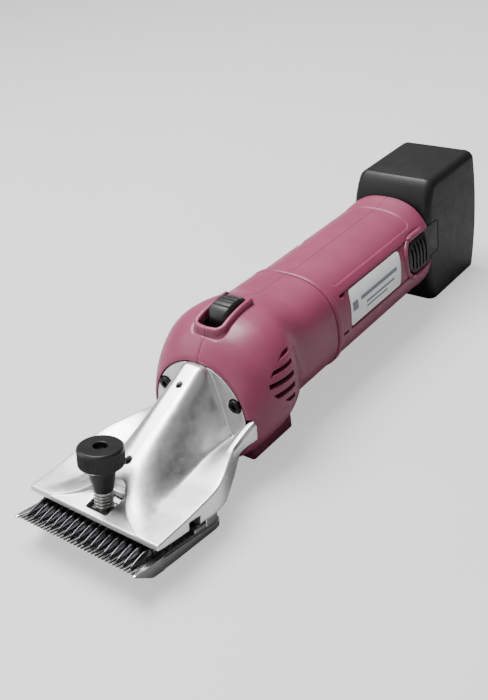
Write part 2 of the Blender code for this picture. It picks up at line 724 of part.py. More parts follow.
def drive_lever():
    """The swinging lever: a drive bar with two pins in the cutter, a rising arm, and a fork for the crank."""
    bar = block(
        "drive_lever",
        (-18 * MM, DRIVE_PIN_U - 2.5 * MM, LEVER_LOW),
        (18 * MM, DRIVE_PIN_U + 3 * MM, LEVER_LOW + 2.4 * MM),
        plain_steel(),
        HEAD_FRAME,
    )
    seat = block(
        "lever_seat",
        (-5 * MM, 16.7 * MM, LEVER_LOW + 0.05 * MM),
        (5 * MM, DRIVE_PIN_U, LEVER_LOW + 2.3 * MM),
        matrix=HEAD_FRAME,
    )
    fuse(bar, seat)
    arm_rows = ((25.5, 6.8, 9.2, 6), (33, 7.5, 12, 6), (43, 10, 16, 6.5), (64, 20, 25, 12), (73, 24, 30, 12))
    rings = []
    for u, low, high, half in arm_rows:
        corners = ((-half, low), (half, low), (half, high), (-half, high))
        rings.append([Vector((x * MM, u * MM, v * MM)) for x, v in corners])
    fuse(bar, loft("lever_arm", rings, matrix=HEAD_FRAME))
    for side in (-1, 1):
        near = (side * FORK_HALF, 70 * MM, 20 * MM)
        far = (side * (FORK_HALF + FORK_ARM), FORK_END_U, 31.5 * MM)
        low, high = sorted_corner(near, far)
        fuse(bar, block(f"lever_fork_{side}", low, high, matrix=HEAD_FRAME))
        pin = rod(f"lever_pin_{side}", 1.9 * MM, 2.6 * MM, LEVER_LOW + 1 * MM, segments=14)
        pin.matrix_world = head_place(side * DRIVE_PIN_X, DRIVE_PIN_U, 0)
        fuse(bar, pin)
    slot_low = (-FORK_HALF, 69.5 * MM, 15 * MM)
    slot_high = (FORK_HALF, 90 * MM, 45 * MM)
    cut(bar, block("cut_lever_slot", slot_low, slot_high, matrix=HEAD_FRAME))
    cut(bar, rod("cut_lever_pivot", 2.35 * MM, 0, 30 * MM, matrix=head_place(0, PIVOT_U, 0), segments=16))
    cut(bar, block("cut_lever_bolt", (-3.5 * MM, 17.6 * MM, 0), (3.5 * MM, 22.8 * MM, 20 * MM), matrix=HEAD_FRAME))
    return bar


def pivot_pin():
    """The lever's fulcrum: a headed pin pressed through the ridge, its domed head left outside."""
    base = ridge_height(PIVOT_U)
    profile = [(0, 7 * MM), (1.95 * MM, 7 * MM), (1.95 * MM, base + 0.8 * MM), (2.6 * MM, base + 2 * MM)]
    profile += [(2.6 * MM, base + 2.8 * MM), (1.4 * MM, base + 4 * MM), (0, base + 4.3 * MM)]
    return lathe("lever_pivot_pin", profile, black_steel(), head_place(0, PIVOT_U, 0), 16)


# ---- Tension group ---------------------------------------------------------------------------


def tension_yoke():
    """A steel strap across the head, above the cutter and under the lever, that anchors the stud."""
    half = wing_half(TENSION_U) - HEAD_WALL - GAP
    low = CUTTER_TOP + GAP
    return block(
        "tension_yoke",
        (-half, TENSION_U - 2.4 * MM, low),
        (half, TENSION_U + 2.4 * MM, low + 1.5 * MM),
        plain_steel(),
        HEAD_FRAME,
    )


def tension_bolt():
    """The threaded stud that stands on the yoke and carries the knob."""
    top = KNOB_TOP - 3.5 * MM
    profile = [(0, 6.5 * MM), (2.2 * MM, 6.5 * MM), (2.2 * MM, top - 0.5 * MM), (1.7 * MM, top), (0, top)]
    return lathe("tension_bolt", profile, plain_steel(), head_place(0, TENSION_U, 0), 16)


def tension_washer():
    low = SPRING_TOP + GAP
    return tube(
        "tension_washer",
        2.5 * MM,
        4.6 * MM,
        low,
        low + 1.2 * MM,
        plain_steel(),
        head_place(0, TENSION_U, 0),
        16,
    )


def tension_nut():
    """The black knob and its tapered sleeve, bored for the stud."""
    low = SPRING_TOP + 1.2 * MM + 2 * GAP
    rim = KNOB_TOP - KNOB_HEIGHT
    bore = 2.5 * MM
    profile = [
        (bore, low),
        (4.6 * MM, low),
        (6.2 * MM, rim - 3 * MM),
        (6.2 * MM, rim),
        (KNOB_RADIUS - 1.5 * MM, rim),
        (KNOB_RADIUS, rim + 1.5 * MM),
        (KNOB_RADIUS, KNOB_TOP - 0.6 * MM),
        (KNOB_RADIUS - 0.6 * MM, KNOB_TOP),
        (3.3 * MM, KNOB_TOP),
        (3.3 * MM, KNOB_TOP - 3 * MM),
        (bore, KNOB_TOP - 3 * MM),
    ]
    return lathe("tension_nut", profile, black_plastic(), head_place(0, TENSION_U, 0), 24)


def tension_spring():
    """A coil spring round the stud, made by sweeping a hexagon along a helix."""
    turns, steps, wire, radius = 5, 10, 0.5 * MM, 3.4 * MM
    low, high = SPRING_BOTTOM + wire, SPRING_TOP - wire
    rings = []
    for i in range(turns * steps + 1):
        angle = 2 * math.pi * i / steps
        height = low + (high - low) * i / (turns * steps)
        outward = Vector((math.cos(angle), math.sin(angle), 0))
        ring = []
        for k in range(6):
            turn = 2 * math.pi * k / 6
            ring.append(outward * (radius + wire * math.cos(turn)) + Vector((0, 0, height + wire * math.sin(turn))))
        rings.append(ring)
    return loft("tension_spring", rings, plain_steel(), head_place(0, TENSION_U, 0))


# ---- Drive -----------------------------------------------------------------------------------


def gear_outline(teeth, phase):
    """Trapezoid teeth on the module's pitch circle, a little thin for running clearance."""
    pitch_radius = GEAR_MODULE * teeth / 2
    tip, root = pitch_radius + 0.85 * GEAR_MODULE, pitch_radius - 1.2 * GEAR_MODULE
    step = 2 * math.pi / teeth
    outline = []
    for i in range(teeth):
        middle = phase + i * step
        for radius, share in ((root, -0.32), (tip, -0.11), (tip, 0.11), (root, 0.32)):
            angle = middle + share * step
            outline.append((radius * math.cos(angle), radius * math.sin(angle)))
    return outline


def crank_gear():
    half_tooth = math.pi / GEAR_TEETH
    outline = gear_outline(GEAR_TEETH, -math.pi / 2 + half_tooth)
    gear = prism("crank_gear", outline, 0, GEAR_WIDTH, brass(), along_y(0, GEAR_Y, CRANK_Z))
    return cut(gear, rod("cut_gear_bore", 3.3 * MM, -1 * MM, 8 * MM, matrix=along_y(0, GEAR_Y, CRANK_Z)))


def motor_pinion():
    outline = gear_outline(PINION_TEETH, math.pi / 2)
    pinion = prism("motor_pinion", outline, 0, GEAR_WIDTH, plain_steel(), along_y(0, GEAR_Y, MOTOR_Z))
    return cut(pinion, rod("cut_pinion_bore", 1.9 * MM, -1 * MM, 8 * MM, matrix=along_y(0, GEAR_Y, MOTOR_Z)))


def crank_shaft():
    """The output shaft with its disc and the offset pin that carries the roller."""
    profile = [(0, -33.5 * MM), (7 * MM, -33.5 * MM), (7 * MM, -30.5 * MM), (3 * MM, -30.5 * MM)]
    profile += [(3 * MM, -1.5 * MM), (0, -1.5 * MM)]
    shaft = lathe("crank_shaft", profile, plain_steel(), along_y(0, 0, CRANK_Z))
    pin = rod("crank_pin", 1.8 * MM, -42 * MM, -32 * MM, matrix=along_y(0, 0, CRANK_Z + CRANK_THROW), segments=14)
    return fuse(shaft, pin)


def crank_roller():
    frame = along_y(0, 0, CRANK_Z + CRANK_THROW)
    return tube("crank_roller", 2.1 * MM, ROLLER_RADIUS, -41 * MM, -34.5 * MM, plain_steel(), frame)


def plate(name, y_low, y_high, shrink, material):
    """A cross plate that fills the casing's section at its place."""
    rows = casing_rows()

    def blended(y):
        for near, far in zip(rows, rows[1:]):
            if y <= far[0]:
                share = (y - near[0]) / (far[0] - near[0])
                return [y] + [a + (b - a) * share for a, b in zip(near[1:], far[1:])]

    rings = []
    for y in (y_low, y_high):
        ring = section(*blended(y_low), shrink=shrink)
        rings.append([Vector((point.x, y, min(point.z, SWITCH_FLOOR))) for point in ring])
    return loft(name, rings, material)


def bearing_plate(name, y_low, y_high, shrink):
    """A plate with a bearing seat on the crank's axis and a clearance hole for the motor shaft."""
    made = plate(name, y_low, y_high, shrink, cast_aluminium())
    seat = rod(f"cut_{name}_seat", BEARING_RADIUS + GAP, -60 * MM, 60 * MM, matrix=along_y(0, 0, CRANK_Z))
    hole = rod(f"cut_{name}_hole", 3.5 * MM, -60 * MM, 60 * MM, matrix=along_y(0, 0, MOTOR_Z), segments=14)
    return cut(cut(made, seat), hole)


def bearing(name, y_low, y_high):
    frame = along_y(0, 0, CRANK_Z)
    return tube(name, 3.2 * MM, BEARING_RADIUS, y_low, y_high, plain_steel(), frame)


def switch_body():
    """The electrical switch under the thumb slide."""
    return block("switch_body", (-5 * MM, -1.8 * MM, 62.2 * MM), (5 * MM, 8.5 * MM, 66.6 * MM), black_plastic())


def motor_can():
    low, high = MOTOR_Y
    frame = along_y(0, 0, MOTOR_Z)
    wall = 1.2 * MM
    profile = [(3.2 * MM, low), (MOTOR_RADIUS, low), (MOTOR_RADIUS, high), (MOTOR_RADIUS - wall, high)]
    profile += [(MOTOR_RADIUS - wall, low + wall), (3.2 * MM, low + wall)]
    return lathe("motor_can", profile, plain_steel(), frame, 28)


def motor_end_cap():
    high = MOTOR_Y[1] + GAP
    profile = [(2 * MM, high), (MOTOR_RADIUS, high), (MOTOR_RADIUS, high + 3 * MM), (6 * MM, high + 3 * MM)]
    profile += [(6 * MM, high + 5 * MM), (2 * MM, high + 5 * MM)]
    return lathe("motor_end_cap", profile, black_plastic(), along_y(0, 0, MOTOR_Z), 24)


def motor_armature():
    low, high = MOTOR_Y[0] + 5 * MM, MOTOR_Y[1] - 4 * MM
    profile = [(1.9 * MM, low), (13 * MM, low), (13 * MM, high - 12 * MM), (6 * MM, high - 10 * MM)]
    profile += [(6 * MM, high), (1.9 * MM, high)]
    return lathe("motor_armature", profile, plain_steel(), along_y(0, 0, MOTOR_Z))


def cooling_fan():
    """A hub with seven flat blades on the motor shaft."""
    frame = along_y(0, 1 * MM, MOTOR_Z)
    fan = tube("cooling_fan", 1.9 * MM, 5 * MM, 0, 5 * MM, black_plastic(), frame, 14)
    for i in range(7):
        blade = block(f"fan_blade_{i}", (4 * MM, -0.6 * MM, 0.3 * MM), (16 * MM, 0.6 * MM, 4.7 * MM))
        blade.matrix_world = frame @ Matrix.Rotation(2 * math.pi * i / 7, 4, "Z")
        fuse(fan, blade)
    return fan


def switch_slider():
    """The arched thumb slide with four cross grooves, standing in the bezel's window."""
    half = SWITCH_HALF - 0.5 * MM
    y_low = SWITCH_Y[0] + SWITCH_TRAVEL + 0.5 * MM
    y_high = SWITCH_Y[1] - 0.5 * MM
    rings = []
    steps = 10
    for i in range(steps + 1):
        y = y_low + (y_high - y_low) * i / steps
        crown = math.sin(math.pi * (0.12 + 0.76 * i / steps)) ** 0.6
        top = (70.5 + 5 * crown) * MM
        corners = ((-half, 67 * MM), (half, 67 * MM), (half, top - 1 * MM), (half - 1.2 * MM, top))
        corners += ((-half + 1.2 * MM, top), (-half, top - 1 * MM))
        rings.append([Vector((x, y, z)) for x, z in corners])
    slider = loft("switch_slider", rings, black_plastic())
    for i in range(4):
        y = y_low + (y_high - y_low) * (0.26 + 0.16 * i)
        cut(slider, block(f"cut_grip_{i}", (-10 * MM, y - 0.5 * MM, 74.3 * MM), (10 * MM, y + 0.5 * MM, 80 * MM)))
    return slider


# ---- Battery ---------------------------------------------------------------------------------


def battery_ring(z, grow, front, count=7):
    """A rounded rectangle at height z; its front edge bows forward by an amount set by the height."""
    rear = BATTERY_Y[1] + grow
    half = BATTERY_HALF + grow - 1.6 * MM * abs(z - 42 * MM) / (42 * MM)
    radius = 6 * MM
    ring = []
    corners = ((half, rear, 0), (-half, rear, 90), (-half, front, 180), (half, front, 270))
    for x, y, start in corners:
        cx = x - math.copysign(radius, x)
        cy = y - (radius if y == rear else -radius)
        for i in range(count):
            angle = math.radians(start + 90 * i / (count - 1))
            ring.append(Vector((cx + radius * math.cos(angle), cy + radius * math.sin(angle), z)))
    return ring


def battery_front(z):
    """The front face is a shallow curve, furthest forward at mid height."""
    return BATTERY_Y[0] + 10 * MM * abs(z / BATTERY_TOP - 0.56) ** 2 * 3.2


def battery_body(name, rows=9):
    """The whole pack as one solid, its top and bottom edges rounded off."""
    round_off = 2.5 * MM
    rings = [battery_ring(0, -round_off, battery_front(0) + round_off)]
    for i in range(rows):
        z = round_off + (BATTERY_TOP - 2 * round_off) * i / (rows - 1)
        rings.append(battery_ring(z, 0, battery_front(z)))
    rings.append(battery_ring(BATTERY_TOP, -round_off, battery_front(BATTERY_TOP) + round_off))
    return loft(name, rings, battery_plastic())


def battery_shell():
    """The pack's box, open at the back, with the tongue that slides into the grip."""
    shell = battery_body("battery_shell")
    tongue = block("battery_tongue", (-18 * MM, 121 * MM, 24 * MM), (18 * MM, 162 * MM, 60 * MM), bevel=1.5 * MM)
    fuse(shell, tongue)
    hollow = block(
        "cut_battery_hollow",
        (-21.5 * MM, 166 * MM, 6 * MM),
        (21.5 * MM, 230 * MM, 75 * MM),
    )
    cut(shell, hollow)
    lid = block("cut_battery_lid", (-40 * MM, 213.8 * MM, -10 * MM), (40 * MM, 230 * MM, 90 * MM))
    cut(shell, lid)
    for side in (-1, 1):
        low, high = sorted_corner(
            (side * 20.5 * MM, 140 * MM, LATCH_Z[0] - 0.6 * MM),
            (side * 40 * MM, LATCH_Y[1] + 0.6 * MM, LATCH_Z[1] + 0.6 * MM),
        )
        cut(shell, block(f"cut_latch_pocket_{side}", low, high))
        slot = block(
            f"cut_terminal_{side}",
            tuple(n * MM for n in (7.2 * side - 3.5, 110, 30)),
            tuple(n * MM for n in (7.2 * side + 3.5, 130, 50)),
        )
        cut(shell, slot)
    return shell


def battery_cover():
    """The lid that closes the back of the pack."""
    cover = battery_body("battery_cover")
    return cut(cover, block("cut_cover", (-40 * MM, 120 * MM, -10 * MM), (40 * MM, 214.1 * MM, 90 * MM)))


def battery_cell(number):
    column, row = (number - 1) % 2, (number - 1) // 2
    x = (column - 0.5) * 20 * MM
    z = (16.5 + 24 * row) * MM
    profile = [(0, 168.5 * MM), (CELL_RADIUS, 168.5 * MM), (CELL_RADIUS, 211 * MM), (0, 211 * MM)]
    return lathe(f"battery_cell_{number}", profile, cell_wrap(), along_y(x, 0, z), 16)


def battery_terminal(name, side):
    x = side * 7.2 * MM
    return block(name, (x - 0.5 * MM, 114 * MM, 33 * MM), (x + 0.5 * MM, 129 * MM, 47 * MM), brass())


def latch(name, side):
    """A ribbed side button on a spring tongue that reaches back along the pack's side."""
    button = block(
        name,
        *sorted_corner(
            (side * 24 * MM, LATCH_Y[0] + 0.4 * MM, LATCH_Z[0]),
            (side * 29.4 * MM, LATCH_Y[0] + 22 * MM, LATCH_Z[1]),
        ),
        battery_plastic(),
        bevel=1.2 * MM,
    )
    low, high = sorted_corner(
        (side * 23 * MM, LATCH_Y[0] + 14 * MM, LATCH_Z[0] + 1 * MM),
        (side * 25.4 * MM, LATCH_Y[1], LATCH_Z[1] - 1 * MM),
    )
    fuse(button, block(f"{name}_tongue", low, high))
    for i in range(4):
        y = LATCH_Y[0] + (5 + 4 * i) * MM
        low, high = sorted_corner(
            (side * 28.4 * MM, y, LATCH_Z[0] + 3 * MM),
            (side * 32 * MM, y + 1.6 * MM, LATCH_Z[1] - 3 * MM),
        )
        cut(button, block(f"cut_{name}_{i}", low, high))
    return button


def latch_spring(name, side):
    low, high = sorted_corner((side * 18.4 * MM, 129 * MM, 42 * MM), (side * 21.4 * MM, 139 * MM, 49 * MM))
    return block(name, low, high, plain_steel())


def contact_block():
    """The socket inside the grip that the pack's two blades slide into."""
    made = block("contact_block", (-14 * MM, 100 * MM, 30 * MM), (14 * MM, 118.5 * MM, 50 * MM), black_plastic())
    for side in (-1, 1):
        x = side * 7.2 * MM
        cut(made, block(f"cut_contact_{side}", (x - 1 * MM, 110 * MM, 32 * MM), (x + 1 * MM, 125 * MM, 48 * MM)))
    return made


def motor_lead(name, x, material):
    """An insulated wire from the contact block forward to the motor's end cap."""
    rings = []
    for i in range(13):
        share = i / 12
        y = (74.5 + 25 * share) * MM
        z = (54 - 10 * smooth_step(0, 1, share)) * MM
        middle = Vector((x, y, z))
        ring = []
        for k in range(6):
            angle = 2 * math.pi * k / 6
            ring.append(middle + Vector((1 * MM * math.cos(angle), 0, 1 * MM * math.sin(angle))))
        rings.append(ring)
    return loft(name, rings, material)


def build():
    clear_scene()
    casing_half("casing_right", 1)
    casing_half("casing_left", -1)
    for number, place in enumerate(SCREW_PLACES, 1):
        casing_screw(number, *place)
    label("label_right", 1)
    label("label_left", -1)
    head_casting()
    head_screw("head_screw_left", -1)
    head_screw("head_screw_right", 1)
    comb_blade()
    comb_screw("comb_screw_left", -1)
    comb_screw("comb_screw_right", 1)
    pivot_pin()
    tension_yoke()
    tension_bolt()
    bearing_plate("gear_case_plate", *CASE_PLATE_Y, WALL + 2.2 * MM)
    bearing_plate("motor_mount_plate", *MOUNT_PLATE_Y, WALL + 1 * MM)
    bearing("crank_bearing_front", *CASE_PLATE_Y)
    bearing("crank_bearing_rear", *MOUNT_PLATE_Y)
    switch_body()
    motor_can()
    motor_end_cap()
    contact_block()
    motor_lead("motor_lead_red", 8 * MM, make_material("red_insulation", (0.5, 0.02, 0.02), 0.4))
    motor_lead("motor_lead_black", -8 * MM, black_plastic())

    lever_axis = empty("lever_axis", head_place(0, PIVOT_U, 0))
    parent_to(lever_axis, drive_lever(), cutter_blade())

    travel = empty("tension_axis", head_place(0, TENSION_U, 0))
    parent_to(travel, tension_washer(), tension_spring(), tension_nut())

    crank_axis = empty("crank_axis", along_y(0, GEAR_Y, CRANK_Z))
    parent_to(crank_axis, crank_shaft(), crank_gear())
    roller_axis = empty("roller_axis", along_y(0, GEAR_Y, CRANK_Z + CRANK_THROW))
    parent_to(roller_axis, crank_roller())
    motor_axis = empty("motor_axis", along_y(0, GEAR_Y, MOTOR_Z))
    shaft = rod("motor_shaft", 1.6 * MM, -14.6 * MM, 73 * MM, plain_steel(), along_y(0, 0, MOTOR_Z), 14)
    parent_to(motor_axis, shaft, motor_pinion(), cooling_fan(), motor_armature())

    parent_to(empty("switch_slide_axis", Matrix.Translation((0, 2 * MM, 70 * MM))), switch_slider())

    battery_axis = empty("battery_slide_axis", Matrix.Translation((0, BATTERY_Y[0], 40 * MM)))
    parent_to(battery_axis, battery_shell(), battery_cover())
    parent_to(battery_axis, *[battery_cell(number) for number in range(1, 7)])
    for name, side in (("left", -1), ("right", 1)):
        parent_to(battery_axis, battery_terminal(f"battery_terminal_{name}", side))
        latch_axis = empty(f"latch_{name}_axis", Matrix.Translation((side * 29 * MM, LATCH_Y[0], 45 * MM)))
        parent_to(latch_axis, latch(f"latch_{name}", side))
        parent_to(battery_axis, latch_axis)
        parent_to(battery_axis, latch_spring(f"latch_spring_{name}", side))


build()
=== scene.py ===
"""Cordless sheep shears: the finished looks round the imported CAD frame.

All shapes are worked out in millimetres and turned into metres when a mesh is made.
"""
import math

import bmesh
import bpy
import numpy as np
from mathutils import Matrix, Vector


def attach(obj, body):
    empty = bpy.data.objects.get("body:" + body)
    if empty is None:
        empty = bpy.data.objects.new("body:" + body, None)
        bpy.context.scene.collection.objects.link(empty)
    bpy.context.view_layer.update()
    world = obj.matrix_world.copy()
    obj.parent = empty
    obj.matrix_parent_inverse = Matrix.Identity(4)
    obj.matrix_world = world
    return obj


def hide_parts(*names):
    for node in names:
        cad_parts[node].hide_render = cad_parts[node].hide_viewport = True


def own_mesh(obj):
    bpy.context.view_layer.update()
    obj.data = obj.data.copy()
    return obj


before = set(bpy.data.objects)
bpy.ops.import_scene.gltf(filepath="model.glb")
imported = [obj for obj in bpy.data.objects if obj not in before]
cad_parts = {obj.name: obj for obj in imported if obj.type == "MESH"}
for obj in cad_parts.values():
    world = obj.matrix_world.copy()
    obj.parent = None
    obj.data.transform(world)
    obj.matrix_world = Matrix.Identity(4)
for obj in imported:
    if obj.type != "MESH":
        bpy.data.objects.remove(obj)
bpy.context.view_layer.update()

MM = 0.001
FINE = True
SIDES = ((1, "right"), (-1, "left"))
HEAD = Matrix.Translation((0, -0.118, 0.017)) @ Matrix.Rotation(-math.radians(10.5), 4, "X")


# ---- Mesh helpers ----


def show(name, mesh):
    """Puts a mesh into the scene as an object."""
    obj = bpy.data.objects.new(name, mesh)
    bpy.context.scene.collection.objects.link(obj)
    return obj


def make(name, points, faces, place=None):
    """A mesh object from millimetre points, turned the right way out."""
    mesh = bpy.data.meshes.new(name)
    mesh.from_pydata((np.asarray(points, float) * MM).tolist(), [], faces)
    if place is not None:
        mesh.transform(place)
    mesh.calc_loop_triangles()
    corner = np.empty(len(mesh.loop_triangles) * 3, np.int32)
    mesh.loop_triangles.foreach_get("vertices", corner)
    place_of = np.empty(len(mesh.vertices) * 3, np.float32)
    mesh.vertices.foreach_get("co", place_of)
    triangles = place_of.reshape(-1, 3)[corner].reshape(-1, 3, 3)
    triangles = triangles - triangles.mean((0, 1))
    if np.einsum("ij,ij->i", triangles[:, 0], np.cross(triangles[:, 1], triangles[:, 2])).sum() < 0:
        mesh.flip_normals()
    return show(name, mesh)


def loft(name, rings, place=None, closed=False):
    """Skins rings of equal count. closed joins the last ring to the first, else the ends are shut."""
    rings = np.asarray(rings, float)
    rows, count = rings.shape[:2]
    index = np.arange(rows * count).reshape(rows, count)
    after = np.roll(index, -1, axis=1)
    if closed:
        quads = np.stack([index, after, np.roll(after, -1, 0), np.roll(index, -1, 0)], -1)
        return make(name, rings.reshape(-1, 3), quads.reshape(-1, 4).tolist(), place)
    quads = np.stack([index[:-1], after[:-1], after[1:], index[1:]], -1).reshape(-1, 4).tolist()
    first = np.stack([np.full(count, rows * count), after[0], index[0]], -1).tolist()
    last = np.stack([np.full(count, rows * count + 1), index[-1], after[-1]], -1).tolist()
    points = np.vstack([rings.reshape(-1, 3), rings[0].mean(0), rings[-1].mean(0)])
    return make(name, points, quads + first + last, place)


def rounded(corners, radius, steps, closed=True):
    """A 2-D outline with each corner turned on an arc. radius is one number, or one for each corner."""
    corners = [np.array(c, float) for c in corners]
    radii = [radius] * len(corners) if np.isscalar(radius) else radius
    out = []
    for i, (here, r) in enumerate(zip(corners, radii)):
        if not closed and i in (0, len(corners) - 1) or r <= 0:
            out.append(here)
            continue
        before, after = corners[i - 1] - here, corners[(i + 1) % len(corners)] - here
        a, b = before / np.linalg.norm(before), after / np.linalg.norm(after)
        half = math.acos(float(np.clip(a @ b, -1, 1))) / 2
        if half > math.radians(88):
            out += [here + a * 0.02 + (b - a) * 0.02 * k / steps for k in range(steps + 1)]
            continue
        back = min(r / math.tan(half), 0.49 * np.linalg.norm(before), 0.49 * np.linalg.norm(after))
        centre = here + (a + b) / np.linalg.norm(a + b) * back / math.cos(half)
        start, end = here + a * back - centre, here + b * back - centre
        turn = math.atan2(start[0] * end[1] - start[1] * end[0], start @ end)
        for k in range(steps + 1):
            t = turn * k / steps
            c, s = math.cos(t), math.sin(t)
            out.append(centre + np.array((start[0] * c - start[1] * s, start[0] * s + start[1] * c)))
    return out


def lathe(name, profile, place, segments, radius=0.0):
    """Turns a (radius, height) profile round local Z. A profile that starts and ends on the axis is solid."""
    solid = profile[0][0] == 0
    outline = rounded(profile, radius, 4, closed=not solid)
    if solid:
        outline = [p for p in outline if p[0] > 1e-6]
    angle = 2 * math.pi * np.arange(segments) / segments
    rings = [np.stack([r * np.cos(angle), r * np.sin(angle), np.full(segments, h)], -1) for r, h in outline]
    return loft(name, rings, place, closed=not solid)


def prism(name, outline, low, high, place=None, edge=0.0, steps=3):
    """An outline in the X-Y plane run from low to high, with its two rims rounded by edge."""
    outline = np.array(outline, float)
    before, after = np.roll(outline, 1, 0), np.roll(outline, -1, 0)
    along = after - before
    normal = np.stack([along[:, 1], -along[:, 0]], -1)
    normal /= np.linalg.norm(normal, axis=1)[:, None]
    area = (outline[:, 0] * after[:, 1] - outline[:, 1] * after[:, 0]).sum()
    normal *= 1 if area > 0 else -1
    rows = []
    turns = [math.pi / 2 * k / steps for k in range(steps + 1)] if edge else [math.pi / 2]
    for t in turns:
        rows.append((edge * (1 - math.sin(t)), low + edge * (1 - math.cos(t))))
    rows += [(inset, high - (h - low)) for inset, h in rows[::-1]]
    rings = []
    for inset, h in rows:
        flat = outline - normal * inset
        rings.append(np.column_stack([flat, np.full(len(flat), h)]))
    return loft(name, rings, place)


def box(name, low, high, edge=0.0, place=None):
    """A box with rounded edges."""
    data = bmesh.new()
    bmesh.ops.create_cube(data, size=1)
    low, high = np.minimum(low, high), np.maximum(low, high)
    for vert in data.verts:
        share = np.array(vert.co) + 0.5
        vert.co = Vector((low + (high - low) * share) * MM)
    if edge:
        bmesh.ops.bevel(data, geom=data.edges[:], offset=edge * MM, segments=3, profile=0.5, affect="EDGES")
    mesh = bpy.data.meshes.new(name)
    data.to_mesh(mesh)
    data.free()
    if place is not None:
        mesh.transform(place)
    return show(name, mesh)


def settle(obj):
    """Turns the modifiers' result into the object's own mesh."""
    graph = bpy.context.evaluated_depsgraph_get()
    made = bpy.data.meshes.new_from_object(obj.evaluated_get(graph))
    old = obj.data
    obj.modifiers.clear()
    obj.data = made
    bpy.data.meshes.remove(old)


def boolean(obj, tool, operation):
    modifier = obj.modifiers.new("boolean", "BOOLEAN")
    modifier.operation = operation
    modifier.solver = "MANIFOLD"
    modifier.object = tool
    settle(obj)
    bpy.data.objects.remove(tool)


def cut(obj, *tools):
    for tool in tools:
        boolean(obj, tool, "DIFFERENCE")


def fuse(obj, other):
    boolean(obj, other, "UNION")


def drill(obj, radius, low, high, place, segments=32):
    """Cuts a round hole along the local Z of place."""
    cut(obj, lathe("drill", [(0, low), (radius, low), (radius, high), (0, high)], place, segments))


def twin(obj, name):
    """A separate copy of an object."""
    return show(name, obj.data.copy())


def gather(name, parts):
    """Several closed shapes kept in one object."""
    data = bmesh.new()
    for part in parts:
        data.from_mesh(part.data)
        bpy.data.objects.remove(part)
    mesh = bpy.data.meshes.new(name)
    data.to_mesh(mesh)
    data.free()
    return show(name, mesh)


def melt(obj, voxel, passes):
    """Rebuilds the surface on a fine grid and relaxes it, so that every edge gets a cast rounding."""
    remesh = obj.modifiers.new("remesh", "REMESH")
    remesh.mode = "VOXEL"
    remesh.voxel_size = voxel * MM * (1 if FINE else 1.7)
    relax = obj.modifiers.new("relax", "SMOOTH")
    relax.iterations = passes
    relax.factor = 0.5
    settle(obj)


def smooth(obj, angle):
    obj.data.shade_smooth()
    if angle < 180:
        obj.data.set_sharp_from_angle(angle=math.radians(angle))


def step(low, high, value):
    """Eases from 0 at low to 1 at high."""
    share = np.clip((np.asarray(value, float) - low) / (high - low), 0, 1)
    return share * share * (3 - 2 * share)


def rect_distance(a, b, half_a, half_b, radius):
    """Signed distance to a rounded rectangle centred on zero."""
    qa, qb = np.abs(a) - half_a + radius, np.abs(b) - half_b + radius
    outside = np.hypot(np.maximum(qa, 0), np.maximum(qb, 0))
    return outside + np.minimum(np.maximum(qa, qb), 0) - radius


def along_y(x, y, z):
    """A frame whose Z runs along world Y."""
    return Matrix.Translation((x * MM, y * MM, z * MM)) @ Matrix.Rotation(-math.pi / 2, 4, "X")


def along_x(x, y, z, side):
    """A frame whose Z runs outwards along world X."""
    return Matrix.Translation((x * MM, y * MM, z * MM)) @ Matrix.Rotation(side * math.pi / 2, 4, "Y")


def head_at(x, u, v):
    """A frame at a point of the tilted head: u runs back along the comb, v up from its face."""
    return HEAD @ Matrix.Translation((x * MM, u * MM, v * MM))


def side_prism(name, side, outline, near, far, edge=0.0):
    """A prism whose outline is given in (y, z) and which runs from x = near to far on one side."""
    place = Matrix(((0, 0, side, 0), (1, 0, 0, 0), (0, 1, 0, 0), (0, 0, 0, 1)))
    obj = prism(name, outline, near, far, None, edge)
    obj.data.transform(place)
    if side < 0:
        obj.data.flip_normals()
    return obj


# ---- Materials ----


